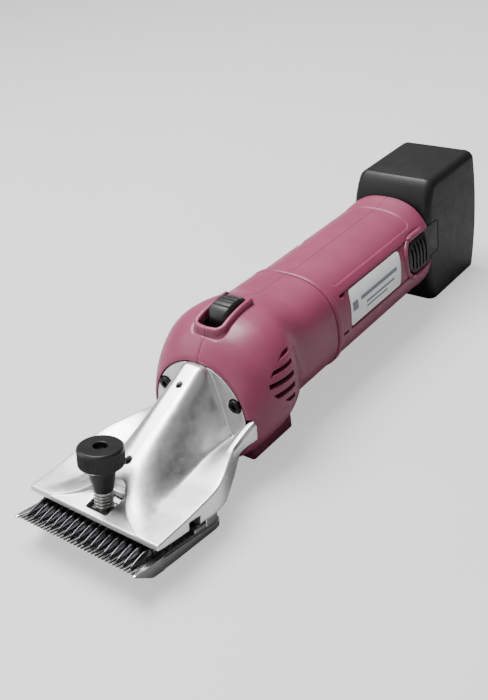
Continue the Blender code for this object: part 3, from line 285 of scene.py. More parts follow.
class Shader:
    """A short way to build a node tree on a Principled shader."""

    def __init__(self, name):
        self.made = bpy.data.materials.new(name)
        self.made.use_nodes = True
        self.tree = self.made.node_tree
        self.main = self.tree.nodes["Principled BSDF"]
        self.where = self.tree.nodes.new("ShaderNodeTexCoord").outputs["Object"]

    def node(self, kind, inputs=None, **settings):
        made = self.tree.nodes.new(kind)
        for key, value in settings.items():
            setattr(made, key, value)
        for key, value in (inputs or {}).items():
            self.put(made.inputs[key], value)
        return made

    def put(self, socket, value):
        if isinstance(value, bpy.types.NodeSocket):
            self.tree.links.new(value, socket)
        else:
            socket.default_value = value

    def stretched(self, scale):
        return self.node("ShaderNodeMapping", {"Vector": self.where, "Scale": scale}).outputs[0]

    def noise(self, size_mm, detail, rough=0.5, where=None, warp=0.0):
        inputs = {"Vector": where or self.where, "Scale": 1000 / size_mm, "Detail": detail}
        inputs.update(Roughness=rough, Distortion=warp)
        return self.node("ShaderNodeTexNoise", inputs).outputs["Fac"]

    def cells(self, size_mm):
        inputs = {"Vector": self.where, "Scale": 1000 / size_mm}
        return self.node("ShaderNodeTexVoronoi", inputs).outputs["Distance"]

    def ramp(self, value, low, high, to_low=0.0, to_high=1.0):
        inputs = {"Value": value, "From Min": low, "From Max": high, "To Min": to_low, "To Max": to_high}
        return self.node("ShaderNodeMapRange", inputs).outputs[0]

    def mix(self, share, a, b):
        made = self.node("ShaderNodeMix", data_type="RGBA")
        self.put(made.inputs[0], share)
        self.put(made.inputs[6], a)
        self.put(made.inputs[7], b)
        return made.outputs[2]

    def calc(self, kind, a, b):
        made = self.node("ShaderNodeMath", operation=kind)
        self.put(made.inputs[0], a)
        self.put(made.inputs[1], b)
        return made.outputs[0]

    def bump(self, height, strength, depth_mm, under=None):
        inputs = {"Height": height, "Strength": strength, "Distance": depth_mm * MM}
        if under:
            inputs["Normal"] = under
        return self.node("ShaderNodeBump", inputs).outputs[0]

    def finish(self, colour, rough, metallic=0.0, normal=None, **more):
        self.put(self.main.inputs["Base Color"], colour)
        self.put(self.main.inputs["Roughness"], rough)
        self.put(self.main.inputs["Metallic"], metallic)
        if normal:
            self.put(self.main.inputs["Normal"], normal)
        for key, value in more.items():
            self.put(self.main.inputs[key.replace("_", " ")], value)
        return self.made


def tone(colour, factor):
    return tuple(min(1.0, c * factor) for c in colour) + (1.0,)


def moulded_plastic(name, colour, rough, grain_mm, grain, sheen=0.0, gloss=0.5):
    """Injection-moulded plastic: spark-eroded grain, faint flow mottling and handling marks in the gloss."""
    s = Shader(name)
    mottle = s.noise(14, 4)
    fine = s.noise(grain_mm, 2, 0.6)
    pits = s.cells(grain_mm * 1.6)
    colour_out = s.mix(s.ramp(mottle, 0.3, 0.7), tone(colour, 0.93), tone(colour, 1.07))
    rough_out = s.ramp(s.noise(5, 5, 0.65, warp=0.6), 0.3, 0.7, rough - 0.05, rough + 0.07)
    normal = s.bump(fine, grain, 0.04)
    normal = s.bump(pits, grain * 0.7, 0.03, normal)
    coat = {"Coat_Weight": sheen, "Coat_Roughness": 0.3}
    return s.finish(colour_out, rough_out, 0.0, normal, Specular_IOR_Level=gloss, **coat)


def cast_metal(name, colour, rough, bead):
    """Bead-blasted or tumbled casting: soft dimples, slightly uneven tone, and painted shade in its hollows.
    """
    s = Shader(name)
    tone_noise = s.noise(9, 5, 0.6)
    colour_out = s.mix(s.ramp(tone_noise, 0.25, 0.75), tone(colour, 0.9), tone(colour, 1.05))
    # Painted shade: the ambient-occlusion value darkens hollows, holes and gaps nearly to black in the base
    # colour.
    painted_shade_ao = s.node("ShaderNodeAmbientOcclusion", {"Distance": 0.004}, samples=8).outputs["AO"]
    colour_out = s.mix(s.ramp(painted_shade_ao, 0.12, 0.62), tone(colour, 0.05), colour_out)
    rough_out = s.ramp(s.noise(3.5, 4, 0.6), 0.3, 0.7, rough - 0.05, rough + 0.06)
    normal = s.bump(s.noise(0.35, 2, 0.6), bead, 0.02)
    normal = s.bump(s.noise(4.0, 2), 0.10, 0.08, normal)
    return s.finish(colour_out, rough_out, 1.0, normal)


def ground_metal(name, colour, rough, lay=(1.0, 0.04, 1.0), depth=0.35, flank=1.0):
    """Ground or turned steel: scratches along the lay, faint stains, and a painted shade that darkens the
    side faces.
    """
    s = Shader(name)
    lines = s.noise(0.25, 4, 0.7, s.stretched(lay))
    stain = s.noise(6, 4)
    colour_out = s.mix(s.ramp(stain, 0.3, 0.75), tone(colour, 1.04), tone(colour, 0.82))
    if flank < 1:
        # Painted shade: faces turned sideways along X are darkened, standing in for the dark surroundings
        # they reflect.
        facing = s.tree.nodes.new("ShaderNodeTexCoord").outputs["Normal"]
        across = s.calc("ABSOLUTE", s.node("ShaderNodeSeparateXYZ", {"Vector": facing}).outputs[0], 0.0)
        colour_out = s.mix(s.ramp(across, 0.70, 0.92), colour_out, tone(colour, flank))
    streaks = s.ramp(lines, 0.3, 0.7, rough - 0.07, rough + 0.07)
    rough_out = s.calc("ADD", streaks, s.ramp(stain, 0.4, 0.8, 0.0, 0.06))
    return s.finish(colour_out, rough_out, 1.0, s.bump(lines, depth, 0.015))


def oxide_steel(name, colour, rough):
    """Black oxide screws: dull, with the steel faintly showing through."""
    s = Shader(name)
    worn = s.ramp(s.noise(1.2, 5, 0.7), 0.55, 0.8)
    colour_out = s.mix(worn, tone(colour, 1.0), tone(colour, 3.2))
    rough_out = s.ramp(worn, 0, 1, rough, rough - 0.1)
    return s.finish(colour_out, rough_out, 0.85, s.bump(s.noise(0.3, 3), 0.2, 0.02))


def coated_film(name, colour, rough):
    """Printed label film: smooth, with a faint ripple from the glue."""
    s = Shader(name)
    colour_out = s.mix(s.ramp(s.noise(20, 3), 0.3, 0.7), tone(colour, 0.97), tone(colour, 1.02))
    rough_out = s.ramp(s.noise(2, 3), 0.3, 0.7, rough, rough + 0.06)
    return s.finish(colour_out, rough_out, 0.0, s.bump(s.noise(7, 2), 0.15, 0.05))


ROSE = moulded_plastic("rose_plastic", (0.238, 0.046, 0.092), 0.36, 0.45, 0.14, 0.05, 0.42)
CHARCOAL = moulded_plastic("charcoal_plastic", (0.0065, 0.0065, 0.007), 0.46, 0.5, 0.26, 0.0, 0.36)
BLACK = moulded_plastic("black_plastic", (0.008, 0.008, 0.008), 0.40, 0.4, 0.22, 0.0, 0.4)
KNOB = moulded_plastic("knob_plastic", (0.007, 0.007, 0.007), 0.34, 0.35, 0.15, 0.0, 0.42)
CAST = cast_metal("cast_aluminium", (0.84, 0.84, 0.84), 0.36, 0.12)
DULL_CAST = cast_metal("plain_casting", (0.30, 0.30, 0.30), 0.45, 0.5)
# The last value, 0.26, sets the painted shade on the comb's side faces.
COMB = ground_metal("comb_steel", (0.72, 0.72, 0.71), 0.20, (1.0, 0.05, 1.0), 0.35, 0.26)
CUTTER = ground_metal("cutter_steel", (0.10, 0.10, 0.105), 0.24, (0.06, 1.0, 1.0))
STEEL = ground_metal("turned_steel", (0.55, 0.55, 0.54), 0.28, (0.3, 0.3, 1.0))
SPRING = ground_metal("spring_steel", (0.50, 0.49, 0.46), 0.2, (1.0, 1.0, 0.2))
OXIDE = oxide_steel("black_oxide", (0.02, 0.02, 0.02), 0.42)
LABEL = coated_film("label_film", (0.90, 0.92, 0.93), 0.3)
PRINT = coated_film("label_print", (0.20, 0.22, 0.24), 0.4)
BRASS = ground_metal("turned_brass", (0.72, 0.50, 0.20), 0.3)
WRAP = coated_film("cell_wrap", (0.05, 0.18, 0.42), 0.3)
RED = moulded_plastic("red_insulation", (0.45, 0.02, 0.02), 0.4, 0.6, 0.1)
WINDINGS = ground_metal("copper_windings", (0.55, 0.22, 0.10), 0.4, (0.2, 1.0, 0.2), 0.8)


def dress(obj, paint, body, stands_for, angle):
    """Gives a finished piece its material, smooth shading and body, and hides the CAD nodes it stands for."""
    obj.data.materials.clear()
    obj.data.materials.append(paint)
    smooth(obj, angle)
    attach(obj, body)
    if stands_for:
        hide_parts(*stands_for)


# ---- Casing ----

# Rows of y, centre z, half-width, up, down, upper and lower exponents: the front housing, then the grip.
HOUSING = [
    (-27.0, 28.6, 30.0, 29.5, 25.0, 2.0, 2.0),
    (-22.3, 30.6, 33.6, 34.1, 27.6, 2.03, 2.0),
    (-16.5, 32.6, 35.8, 36.5, 29.2, 2.12, 2.0),
    (-8.0, 34.6, 37.5, 37.4, 30.0, 2.30, 2.0),
    (0.0, 36.0, 37.8, 36.9, 30.0, 2.42, 2.0),
    (5.0, 36.5, 36.6, 36.6, 29.0, 2.48, 2.0),
    (10.0, 37.0, 34.6, 36.1, 28.0, 2.52, 2.03),
    (13.5, 37.5, 31.8, 35.5, 27.7, 2.55, 2.08),
    (17.0, 38.2, 30.4, 34.3, 27.7, 2.58, 2.15),
    (21.0, 38.6, 30.2, 32.7, 27.8, 2.60, 2.15),
    (28.0, 39.0, 30.4, 30.0, 28.0, 2.60, 2.15),
    (64.0, 39.3, 30.4, 28.5, 28.0, 2.60, 2.15),
]
GRIP = [
    (40.0, 39.3, 30.4, 28.5, 27.6, 2.48, 2.15),
    (66.0, 39.3, 30.5, 28.3, 27.7, 2.42, 2.13),
    (128.0, 39.6, 30.6, 28.3, 27.5, 2.36, 2.13),
    (141.0, 39.6, 30.4, 28.2, 27.6, 2.36, 2.15),
    (147.5, 39.6, 30.4, 29.0, 28.1, 2.40, 2.2),
    (151.5, 39.6, 29.6, 30.0, 28.4, 2.42, 2.25),
    (154.5, 39.6, 28.4, 30.2, 28.2, 2.42, 2.25),
]
MOUTH = -27.0
COLLAR_END = 51.6
CASING_END = 154.5
GRIP_AXIS = 39.5


def flow(table, y, blur):
    """Each station value at every y, with the corners between stations rounded off."""
    table = np.array(table)
    fine = np.arange(table[0, 0] - 30, table[-1, 0] + 30, 0.25)
    reach = np.arange(-12, 12.01, 0.25)
    kernel = np.exp(-0.5 * (reach / blur) ** 2)
    kernel /= kernel.sum()
    columns = []
    for column in table[:, 1:].T:
        slope_in = (column[1] - column[0]) / (table[1, 0] - table[0, 0])
        slope_out = (column[-1] - column[-2]) / (table[-1, 0] - table[-2, 0])
        values = np.interp(fine, table[:, 0], column)
        values += np.where(fine < table[0, 0], slope_in * (fine - table[0, 0]), 0)
        values += np.where(fine > table[-1, 0], slope_out * (fine - table[-1, 0]), 0)
        columns.append(np.interp(y, fine, np.convolve(values, kernel, "same")))
    return np.array(columns).T


def housing(y):
    """The housing's section values: broad curves in front, and a tighter crease behind the vents."""
    share = step(5, 11, y)[:, None]
    return flow(HOUSING, y, 2.4) * (1 - share) + flow(HOUSING, y, 1.0) * share


def casing_rows(y, shrink, count):
    """Rings of the casing's outer skin at each y."""
    y = np.asarray(y, float)
    values = np.where((y < COLLAR_END)[:, None], housing(y), flow(GRIP, y, 0.9))
    before, after = np.clip(y - (COLLAR_END - 0.7), 0, 0.7), np.clip(COLLAR_END + 1.4 - y, 0, 1.4)
    notch = 0.8 * step(COLLAR_END - 0.9, COLLAR_END - 0.2, y) * (y < COLLAR_END)
    collar = 1.35 * np.sqrt(np.clip(1 - (after / 1.4) ** 2, 0, 1))
    collar -= 0.95 * step(COLLAR_END + 3.0, COLLAR_END + 4.6, y)
    collar = np.where(y < COLLAR_END, -notch, np.where(before > 0, collar - 0.4, 0))
    mouth = 1.0 - np.sqrt(np.clip(1.0 - np.clip(MOUTH + 1 - y, 0, 1) ** 2, 0, 1))
    tail = 1.2 - np.sqrt(np.clip(1.2**2 - np.clip(y - CASING_END + 1.2, 0, 1.2) ** 2, 0, None))
    drawn = np.full(len(y), shrink) if shrink else mouth * 0.8 + tail - collar
    angle = 2 * math.pi * (np.arange(count) + 0.5) / count
    c, s = np.cos(angle)[None], np.sin(angle)[None]
    centre, half, up, down, over, under = (values[:, i : i + 1] for i in range(6))
    drawn = drawn[:, None]
    power = np.where(s > 0, over, under)
    x = (half - drawn) * np.sign(c) * np.abs(c) ** (2 / power)
    height = np.where(s > 0, up, down) - drawn
    z = height * np.sign(s) * np.abs(s) ** (2 / power)
    lean = math.tan(math.radians(7)) * np.clip(y / MOUTH, 0, 1)[:, None]
    return np.stack([x, y[:, None] + lean * z, centre + z], -1)


def bezel_half(y):
    return np.interp(y, [-15, 13], [9.9, 8.4])


def bezel_distance(x, y):
    """Distance in plan from the middle line of the raised loop round the switch."""
    return rect_distance(x * 8.3 / (bezel_half(y) - 1.55), y + 1.0, 8.3, 12.45, 2.6)


def latch_opening():
    """The D-shaped opening for a latch button, run out through the casing's rear end."""
    return rounded([(125.7, 34.6), (180, 34.6), (180, 55.4), (125.7, 55.4)], [9.6, 0, 0, 9.6], 14)


def casing_skin():
    """The whole outer skin with its raised and sunk details, as one solid."""
    spacing = [np.arange(-27, -18, 0.45), np.arange(-18, 16, 0.4), np.arange(16, 46, 0.6)]
    spacing += [np.arange(46, 50.5, 0.5), np.arange(50.5, 51.6, 0.12), np.arange(51.61, 53.2, 0.12)]
    spacing += [np.arange(53.2, 63, 0.3), np.arange(63, 123, 0.6)]
    spacing += [np.arange(123, 134, 0.3), np.arange(134, 152, 0.5), np.arange(152, 154.6, 0.25)]
    y = np.concatenate(spacing)
    if not FINE:
        y = y[::2]
    rows = casing_rows(y, 0.0, 480 if FINE else 240)
    down_length = np.gradient(rows, axis=0)
    round_length = np.gradient(rows, axis=1)
    normal = np.cross(round_length, down_length)
    normal /= np.linalg.norm(normal, axis=-1, keepdims=True) + 1e-12
    normal *= 1 if (normal[:, :, 0] * rows[:, :, 0]).sum() > 0 else -1
    x, yy, z = rows[..., 0], rows[..., 1], rows[..., 2]
    side = np.abs(x)
    lift = np.zeros(x.shape)
    arc = np.arctan2(side, z - GRIP_AXIS) * 35.0
    panel = rect_distance(yy - 100.3, arc, 40.6, 28.7, 5.0)
    lift -= 0.42 * (1 - step(-0.3, 0.25, panel)) * (z > 50)
    opening = rect_distance(yy - 156.6, z - 45.0, 30.9, 10.4, 9.6)
    rim = np.clip(1 - ((opening - 1.3) / 1.3) ** 2, 0, 1)
    lift += 0.9 * np.sqrt(rim) * (side > 20) * (1 - step(142, 149, yy))
    lift -= 0.4 * np.exp(-(((opening - 3.0) / 0.4) ** 2)) * (side > 20) * (yy < 145)
    loop = bezel_distance(x, yy)
    lift -= 0.55 * np.exp(-(((loop - 1.9) / 0.45) ** 2)) * (z > 60) * (1 - step(-4, 6, yy))
    lift -= 0.25 * np.exp(-((x / 0.3) ** 2)) * (np.abs(loop) > 1.6)
    sunk = rect_distance(yy - 98.0, z - 46.6, 34.5, 10.4, 1.6)
    lift -= 0.9 * (1 - step(-0.25, 0.25, sunk)) * (side > 20)
    return rows + normal * lift[..., None]


def bezel_loop():
    """The rounded U-shaped band round the front of the thumb slide, its rails rising to rounded tips."""
    corners = [(-7.4, 13.6), (-8.3, -12.9), (0, -13.9), (8.3, -12.9), (7.4, 13.6)]
    outline = rounded(corners, [0, 4.2, 20, 4.2, 0], 12, closed=False)
    path = []
    for a, b in zip(outline, outline[1:]):
        count = max(1, int(np.linalg.norm(b - a) / 0.5))
        path += [a + (b - a) * k / count for k in range(count)]
    path = np.array(path + [outline[-1]])
    tangent = np.gradient(path, axis=0)
    tangent /= np.linalg.norm(tangent, axis=1)[:, None]
    run = np.concatenate([[0], np.cumsum(np.linalg.norm(np.diff(path, axis=0), axis=1))])
    tip = np.minimum(run, run[-1] - run)
    swell = np.sqrt(np.clip(1 - (1 - np.clip(tip / 1.7, 0, 1)) ** 2, 0.01, 1))
    top_line = housing(path[:, 1])
    surface = top_line[:, 0] + top_line[:, 2] - 0.35 * (path[:, 0] / 8.3) ** 2
    top = surface + np.interp(path[:, 1], [-14, -8, 4, 13.6], [1.7, 2.1, 2.9, 3.2])
    rings = []
    for k in range(28):
        t = 2 * math.pi * k / 28
        c, s = math.cos(t), math.sin(t)
        across = 1.6 * math.copysign(abs(c) ** 0.9, c) * swell
        if s > 0:
            rise = top - 2.2 + 2.2 * s * swell
        else:
            rise = top - 2.2 - 4.6 * abs(s) ** 0.3
        beside = path + np.column_stack([tangent[:, 1], -tangent[:, 0]]) * across[:, None]
        rings.append(np.column_stack([beside, rise]))
    return loft("bezel", np.array(rings).transpose(1, 0, 2))


def vent_outline(low, high):
    """One slot of the vent: straight edges, the front end on the arc of the whole group."""
    points = [(1.8 + 0.2 * (low - 35.3), low), (1.8 + 0.2 * (high - 35.3), high)]
    for z in np.linspace(high, low, 6):
        points.append((min(1.2, -13.4 + 0.085 * (z - 45.3) ** 2), z))
    return rounded(points, [0.4, 0.4, 0.3, 0, 0, 0, 0, 0.3], 3)


# y, z and reach from the middle of each screw that joins the halves.
CASING_SCREWS = ((5, 8, 15), (44, 20, 17), (112, 20, 17), (97, 60, 16))
VENT_SLOTS = ((55.9, 58.2), (50.7, 53.1), (45.1, 47.8), (39.5, 42.1), (34.2, 36.5))


def casing():
    """Both halves of the casing."""
    whole = loft("casing", casing_skin())
    foot_outline = rounded([(-21.1, -16.2), (21.1, -16.2), (21.1, 17.1), (-21.1, 17.1)], 1.6, 5)
    fuse(whole, prism("foot", foot_outline, 0, 17, None, 1.0, 4))
    fuse(whole, bezel_loop())
    y = np.concatenate([np.arange(-24, 46, 2.0), np.arange(46, 152, 6.0), [160.0]])
    inner = casing_rows(y, 2.5, 96)
    first = casing_rows(np.array([MOUTH]), 1.1, 96)
    inner = np.vstack([first - (0, 6, 0), first, inner])
    cut(whole, loft("hollow", inner))
    cut(whole, box("window", (-6.8, -12, 58), (6.8, 12.3, 90), 1.0))
    for side in (-1, 1):
        for low, high in VENT_SLOTS:
            cut(whole, side_prism("slot", side, vent_outline(low, high), 22, 46))
        cut(whole, side_prism("latch_gap", side, latch_opening(), 20, 46))
        cut(whole, box("hole_a", (side * 15, 60.4, 54.9), (side * 40, 65.4, 56.9), 0.3))
        cut(whole, box("hole_b", (side * 15, 56.4, 35.8), (side * 40, 61.2, 37.3), 0.3))
    cut(whole, box("lug_gap", (24, -38, 22.3), (44, -24.3, 34.4), 1.2))
    for side, name in SIDES:
        half = twin(whole, f"casing_{name}_shell")
        cut(half, box("other", (-side * 80, -80, -20), (side * 0.09, 260, 120)))
        for y, z, reach in CASING_SCREWS:
            place = along_x(0, y, z, side)
            end, seat = reach + 2.5, reach - 0.3
            fuse(half, lathe("boss", [(0, 0.1), (3.4, 0.1), (3.4, end), (0, end)], place, 24))
            if side > 0:
                drill(half, 1.9, -1, 12, place)
            else:
                counterbore = [(0, -1), (1.9, -1), (1.9, seat), (3.3, seat), (3.3, 45), (0, 45)]
                cut(half, lathe("bore", counterbore, place, 32))
        dress(half, ROSE, "grip", [f"casing_{name}"], 40)
    bpy.data.objects.remove(whole)


def casing_screws():
    """Pan heads with a cross recess, deep in the left half's counterbores."""
    for number, (y, z, reach) in enumerate(CASING_SCREWS, 1):
        profile = [(0, -9), (0.9, -9), (1.6, -7.5), (1.6, reach), (2.9, reach)]
        profile += [(2.9, reach + 1.3), (1.6, reach + 2), (0, reach + 2)]
        place = along_x(0, y, z, -1)
        screw = lathe(f"casing_screw_{number}_fine", profile, place, 40, 0.25)
        for wide, tall in ((0.3, 1.5), (1.5, 0.3)):
            cut(screw, box("cross", (-wide, -tall, reach + 0.8), (wide, tall, reach + 3), 0.0, place))
        dress(screw, OXIDE, "grip", [f"casing_screw_{number}"], 35)


def grip_side(z, shrink):
    """Half-width of the grip's side wall at height z, drawn in by shrink."""
    rise = z - GRIP_AXIS
    reach, power = np.where(rise > 0, 28.3, 27.6) - shrink, np.where(rise > 0, 2.38, 2.13)
    return (30.5 - shrink) * (1 - (np.abs(rise) / reach) ** power) ** (1 / power)


def film(name, side, low, high, z_low, z_high, depth, lean, corner, thick=0.25):
    """A thin curved plate on the grip's side. lean shifts it back along y towards its top."""
    rings = []
    for share in (1 - np.cos(np.linspace(0, math.pi, 60))) / 2:
        end = min(share, 1 - share) * (high - low)
        inset = corner - math.sqrt(max(0.0, corner**2 - max(0.0, corner - end) ** 2))
        z = np.linspace(z_low + inset, z_high - inset, 26)
        rise = (z - z_low) / (z_high - z_low)
        y = low + (high - low) * share + lean * (rise**1.4)
        outer = np.column_stack([side * grip_side(z, depth), y, z])
        inner = np.column_stack([side * grip_side(z, depth + thick), y, z])[::-1]
        rings.append(np.vstack([outer, inner]))
    return loft(name, rings)


# Ends and edges, in y and z, of the blank bars on a label.
LABEL_BARS = ((76, 113, 47.3, 49.3), (80, 109, 43.6, 44.8), (80, 101, 41.2, 42.2), (67.5, 72.5, 44.5, 49.3))
LABEL_TURN = 182.2


def labels():
    """Plain pale films with a few blank printed bars."""
    for side, name in SIDES:
        plate = film(f"label_{name}_film", side, 64.6, 115.6, 37.3, 55.6, 0.42, 4.2, 1.7)
        dress(plate, LABEL, "grip", [f"label_{name}"], 35)
        bars = []
        for low, high, z0, z1 in LABEL_BARS:
            span = (low, high) if side > 0 else (LABEL_TURN - high, LABEL_TURN - low)
            bars.append(film("bar", side, *span, z0, z1, 0.38, 0.6, 0.2, 0.1))
        dress(gather(f"label_{name}_bars", bars), PRINT, "grip", [], 35)


def slider():
    """The domed thumb slide: a round front end, a flat rear end and four fine grooves across it."""
    low, high = -6.8, 12.0
    nose = low + 6 * (1 - np.cos(np.linspace(0.02, math.pi / 2, 50)))
    y = np.concatenate([nose, np.linspace(low + 6.1, high, 120)])
    share = (y - low) / (high - low)
    rings = []
    for yy, t in zip(y, share):
        front = math.sqrt(max(0.0, 1 - max(0.0, 1 - (yy - low) / 5.2) ** 2.2))
        back = 1 - 0.12 * max(0.0, (yy - high + 1.2) / 1.2)
        half = 6.3 * max(0.12, 0.35 + 0.65 * front) * back
        dome = max(0.0, math.sin(math.pi * (0.07 + 0.78 * t))) ** 0.55
        zz = 70.0 + 7.4 * dome * (0.30 + 0.70 * front) * back
        for i in range(4):
            zz -= 0.55 * math.exp(-(((t - 0.30 - 0.165 * i) / 0.017) ** 2))
        crest, brow = half * 0.8, zz - 1.2
        corners = [(-half, 66.8), (half, 66.8), (half, brow), (crest, zz), (-crest, zz), (-half, brow)]
        across = np.array(rounded(corners, [0.2, 0.2, 1.0, 1.0, 1.0, 1.0], 5))
        bow = 0.5 * (1 - (across[:, 0] / half) ** 2) * (across[:, 1] > zz - 1.3)
        rings.append(np.column_stack([across[:, 0], np.full(len(across), yy), across[:, 1] + bow]))
    dress(loft("thumb_slide", rings), BLACK, "switch", ["switch_slider"], 50)


# ---- Head ----


LIP = 11.7
TILT_SIN, TILT_COS = 0.18224, 0.98325


def soft(u, knots, values, reach=4.5):
    """A table read off at u, its corners rounded over reach on each side."""
    offsets = np.linspace(-1, 1, 11)
    weights = 1.05 - np.abs(offsets)
    return sum(w * np.interp(u + reach * k, knots, values) for k, w in zip(offsets, weights)) / weights.sum()


def wing_half(u):
    """Half-width of the head's wings."""
    halves = [40.3, 40.3, 40.1, 39.2, 36.8, 33.9, 31.2, 29.6, 28.6]
    return soft(u, [LIP, 46, 51, 56, 62, 68, 75, 81, 90], halves)


def rim_height(u):
    return soft(u, [6, 30, 40, 50, 56, 62, 68, 75, 90], [8.3, 12.6, 15, 17.4, 19.6, 21.8, 23.5, 25, 26.4])


def ridge_height(u):
    return np.minimum(9.2 + 0.668 * (u - LIP), 57.2)


def bell(grow):
    """Outline of the bell-shaped recess round the knob, in x and u, grown outwards."""
    corners = [(37, 4), (37, 11.3), (26.2, 12.4), (16.6, 17.6), (10.4, 23.6), (5.4, 30.4)]
    corners = [(x + grow, u + grow * (u > 12)) for x, u in corners]
    radii = [0, 1, 9, 30, 16, 5]
    return rounded(corners + [(-x, u) for x, u in corners[::-1]], radii + radii[::-1], 12)


def head_skin(x, u):
    """Height of the head's upper skin: a broad rounded ridge, a soft valley each side and dished wings."""
    side = np.abs(x)
    rim, ridge, half = rim_height(u), ridge_height(u), wing_half(u)
    flat = soft(u, [12, 30, 45, 62, 90], [0.0, 1.0, 2.0, 3.0, 3.0])
    foot = soft(u, [12, 30, 45, 62, 78, 90], [34, 24.5, 22.5, 21.0, 20.5, 20.5])
    across = np.clip((side - flat) / (foot - flat), 0, 1)
    shoulder = (1 - across**2.1) ** 1.8
    outward = np.clip((side - foot * 0.8) / (half - foot * 0.8), 0, 1)
    dish = soft(u, [15, 35, 50, 62, 80], [0, 0.8, 2.0, 3.6, 4.6])
    low = rim - dish * np.cos(outward * math.pi / 2) ** 2
    height = low + np.maximum(ridge - low, 0) * shoulder
    # The casing's mouth as a roof in the head frame, blended in with a smooth minimum.
    arch = 11.6 + 28.0 * np.sqrt(np.clip(1 - (side / 28.5) ** 2, 0.02, 1))
    roof = (arch + TILT_SIN * u) / TILT_COS + 0.35 * (88 - u)
    return -np.log(np.exp(-height * 0.9) + np.exp(-roof * 0.9)) / 0.9


def head_ring(u, half, shrink, bottom, count, under):
    """One closed ring: the skin from rim to rim, a rolled rim, then round the underside."""
    power = 2 + 14 * (1 - float(step(54, 84, u)))
    bunch = math.pi / 2 * 0.94
    x = half * np.sin(np.linspace(-1, 1, count) * bunch) / math.sin(bunch)
    top = np.maximum(head_skin(x, u) - shrink, bottom + 1)
    if shrink == 0:
        edge = np.clip(np.abs(x) - (half - 1.1), 0, 1.1)
        top = top - (1.1 - np.sqrt(1.1**2 - edge**2)) * 0.8
    ring = [np.column_stack([x, np.full(count, u), top])]
    rim = top[-1]
    angle = math.pi * np.arange(1, under + 1) / (under + 1)
    c, s = np.cos(angle), np.sin(angle)
    flank = half * np.sign(c) * np.abs(c) ** (2 / power)
    ring.append(np.column_stack([flank, np.full(under, u), rim - (rim - bottom) * s ** (2 / power)]))
    ring = np.vstack(ring)
    lean = math.tan(math.radians(3.5)) * float(step(70, 87.3, u))
    ring[:, 1] += lean * (30 - ring[:, 2])
    return ring


def head_bottom(u):
    heights = [6.5, 5.9, 5.5, 4.6, 4.4, 2.6, 2.6, 7.5]
    return float(np.interp(u, [LIP, 16, 30, 46, 56, 62, 78, 90], heights))


def head_solid(name, low, high, shrink, bottom, steps, count=161, under=41):
    rings = []
    for u in np.linspace(low, high, steps + 1):
        base = head_bottom(u) if bottom is None else bottom
        rings.append(head_ring(u, float(wing_half(u)) - shrink, shrink, base, count, under))
    return loft(name, rings, HEAD)


def head_lug():
    """The ear on the right: the side wall's rim carried back and swept out into the casing's notch."""
    stations = [-50, -46, -42, -38, -34, -30, -27, -24.6]
    rings = []
    for y in np.linspace(-50, -24.6, 26):
        out = float(soft(y, stations, [32.6, 32.8, 32.1, 31.6, 31.6, 32.3, 33.0, 33.2], 2.5))
        high = float(soft(y, stations, [25.2, 27.0, 28.0, 28.8, 30.0, 31.9, 33.4, 33.9], 2.5))
        low = float(np.interp(y, [-50, -30], [20.0, 22.7]))
        corners = [(out - 4.0, low), (out - 0.6, low), (out, high - 2.0)]
        corners += [(out - 1.2, high), (out - 4.0, high - 0.3)]
        rings.append([(x, y, z) for x, z in rounded(corners, [0.4, 1.5, 2.0, 0.8, 0.8], 4)])
    return loft("lug", rings)


def mouth_ring(dy, shrink):
    """The casing's front outline, moved back by dy and drawn in."""
    ring = casing_rows(np.array([MOUTH]), 0.001, 180)[0]
    middle = np.array((0, 0, 28.6))
    flat = ring - middle
    flat[:, [0, 2]] *= (31.6 - shrink) / 31.6
    return flat + middle + (0, dy, 0)


# Places on the head: x, y and z of its screws, and x and u of the comb's screws.
HEAD_SCREW = (21.9, MOUTH, 39.7)
COMB_SCREW = (21, 49)
PIVOT = 36.4


def head():
    """The cast head: lofted skin, hollow beneath, flange, ear, windows and seats, rounded as a casting."""
    made = head_solid("head", LIP, 87.3, 0.0, None, 150 if FINE else 70)
    fuse(made, loft("flange", [mouth_ring(-0.2, 1.9), mouth_ring(1.2, 1.9), mouth_ring(2.8, 2.4)]))
    fuse(made, loft("spigot", [mouth_ring(1, 4.5), mouth_ring(4.2, 4.5)]))
    fuse(made, head_lug())
    tilt = head_at(0, LIP, 8.9) @ Matrix.Rotation(math.atan(0.30), 4, "X")
    cut(made, prism("bell", [(x, (u - LIP) * 1.044) for x, u in bell(0)], 0, 60, tilt))
    cavity = head_solid("cavity", 14, 38.2, 2.4, -6, 40, 81, 15)
    cut(cavity, prism("bell_room", [(x, (u - LIP) * 1.044) for x, u in bell(2.4)], -2.4, 60, tilt))
    cut(made, cavity)
    inner = []
    for u in np.linspace(36, 97, 24):
        x = np.linspace(-1, 1, 41) * min(16.5, float(wing_half(u)) - 6)
        top = np.minimum(head_skin(np.abs(x) + 2.6, min(u, 83.0)) - 2.2, 44)
        inner.append([(a, u, b) for a, b in zip(x, top)] + [(x[-1], u, -8), (x[0], u, -8)])
    cut(made, loft("tunnel", inner, HEAD))
    cut(made, box("window", (-6.5, 14.6, 0), (6.5, 27.5, 30), 0.8, HEAD))
    drill(made, 1.5, -4, 20, head_at(0, 72.4, 36), 40)
    drill(made, 1.8, 10, 40, head_at(0, PIVOT, 0), 40)
    for side in (-1, 1):
        seat = [(0, -20), (3.8, -20), (3.8, 3.4), (1.9, 3.4), (1.9, 12), (0, 12)]
        cut(made, lathe("seat", seat, along_y(side * HEAD_SCREW[0], *HEAD_SCREW[1:]), 48))
        drill(made, 2, 0, 13.3, head_at(side * COMB_SCREW[0], COMB_SCREW[1], 0))
        cut(made, box("side_window", (side * 34, 31.8, -1), (side * 44, 39.5, 10.4), 0.4, HEAD))
        cut(made, box("side_notch", (side * 34, 43.5, -1), (side * 44, 47, 5.2), 0.4, HEAD))
    melt(made, 0.28, 3)
    made.name = "head_shell"
    dress(made, CAST, "grip", ["head_casting"], 180)


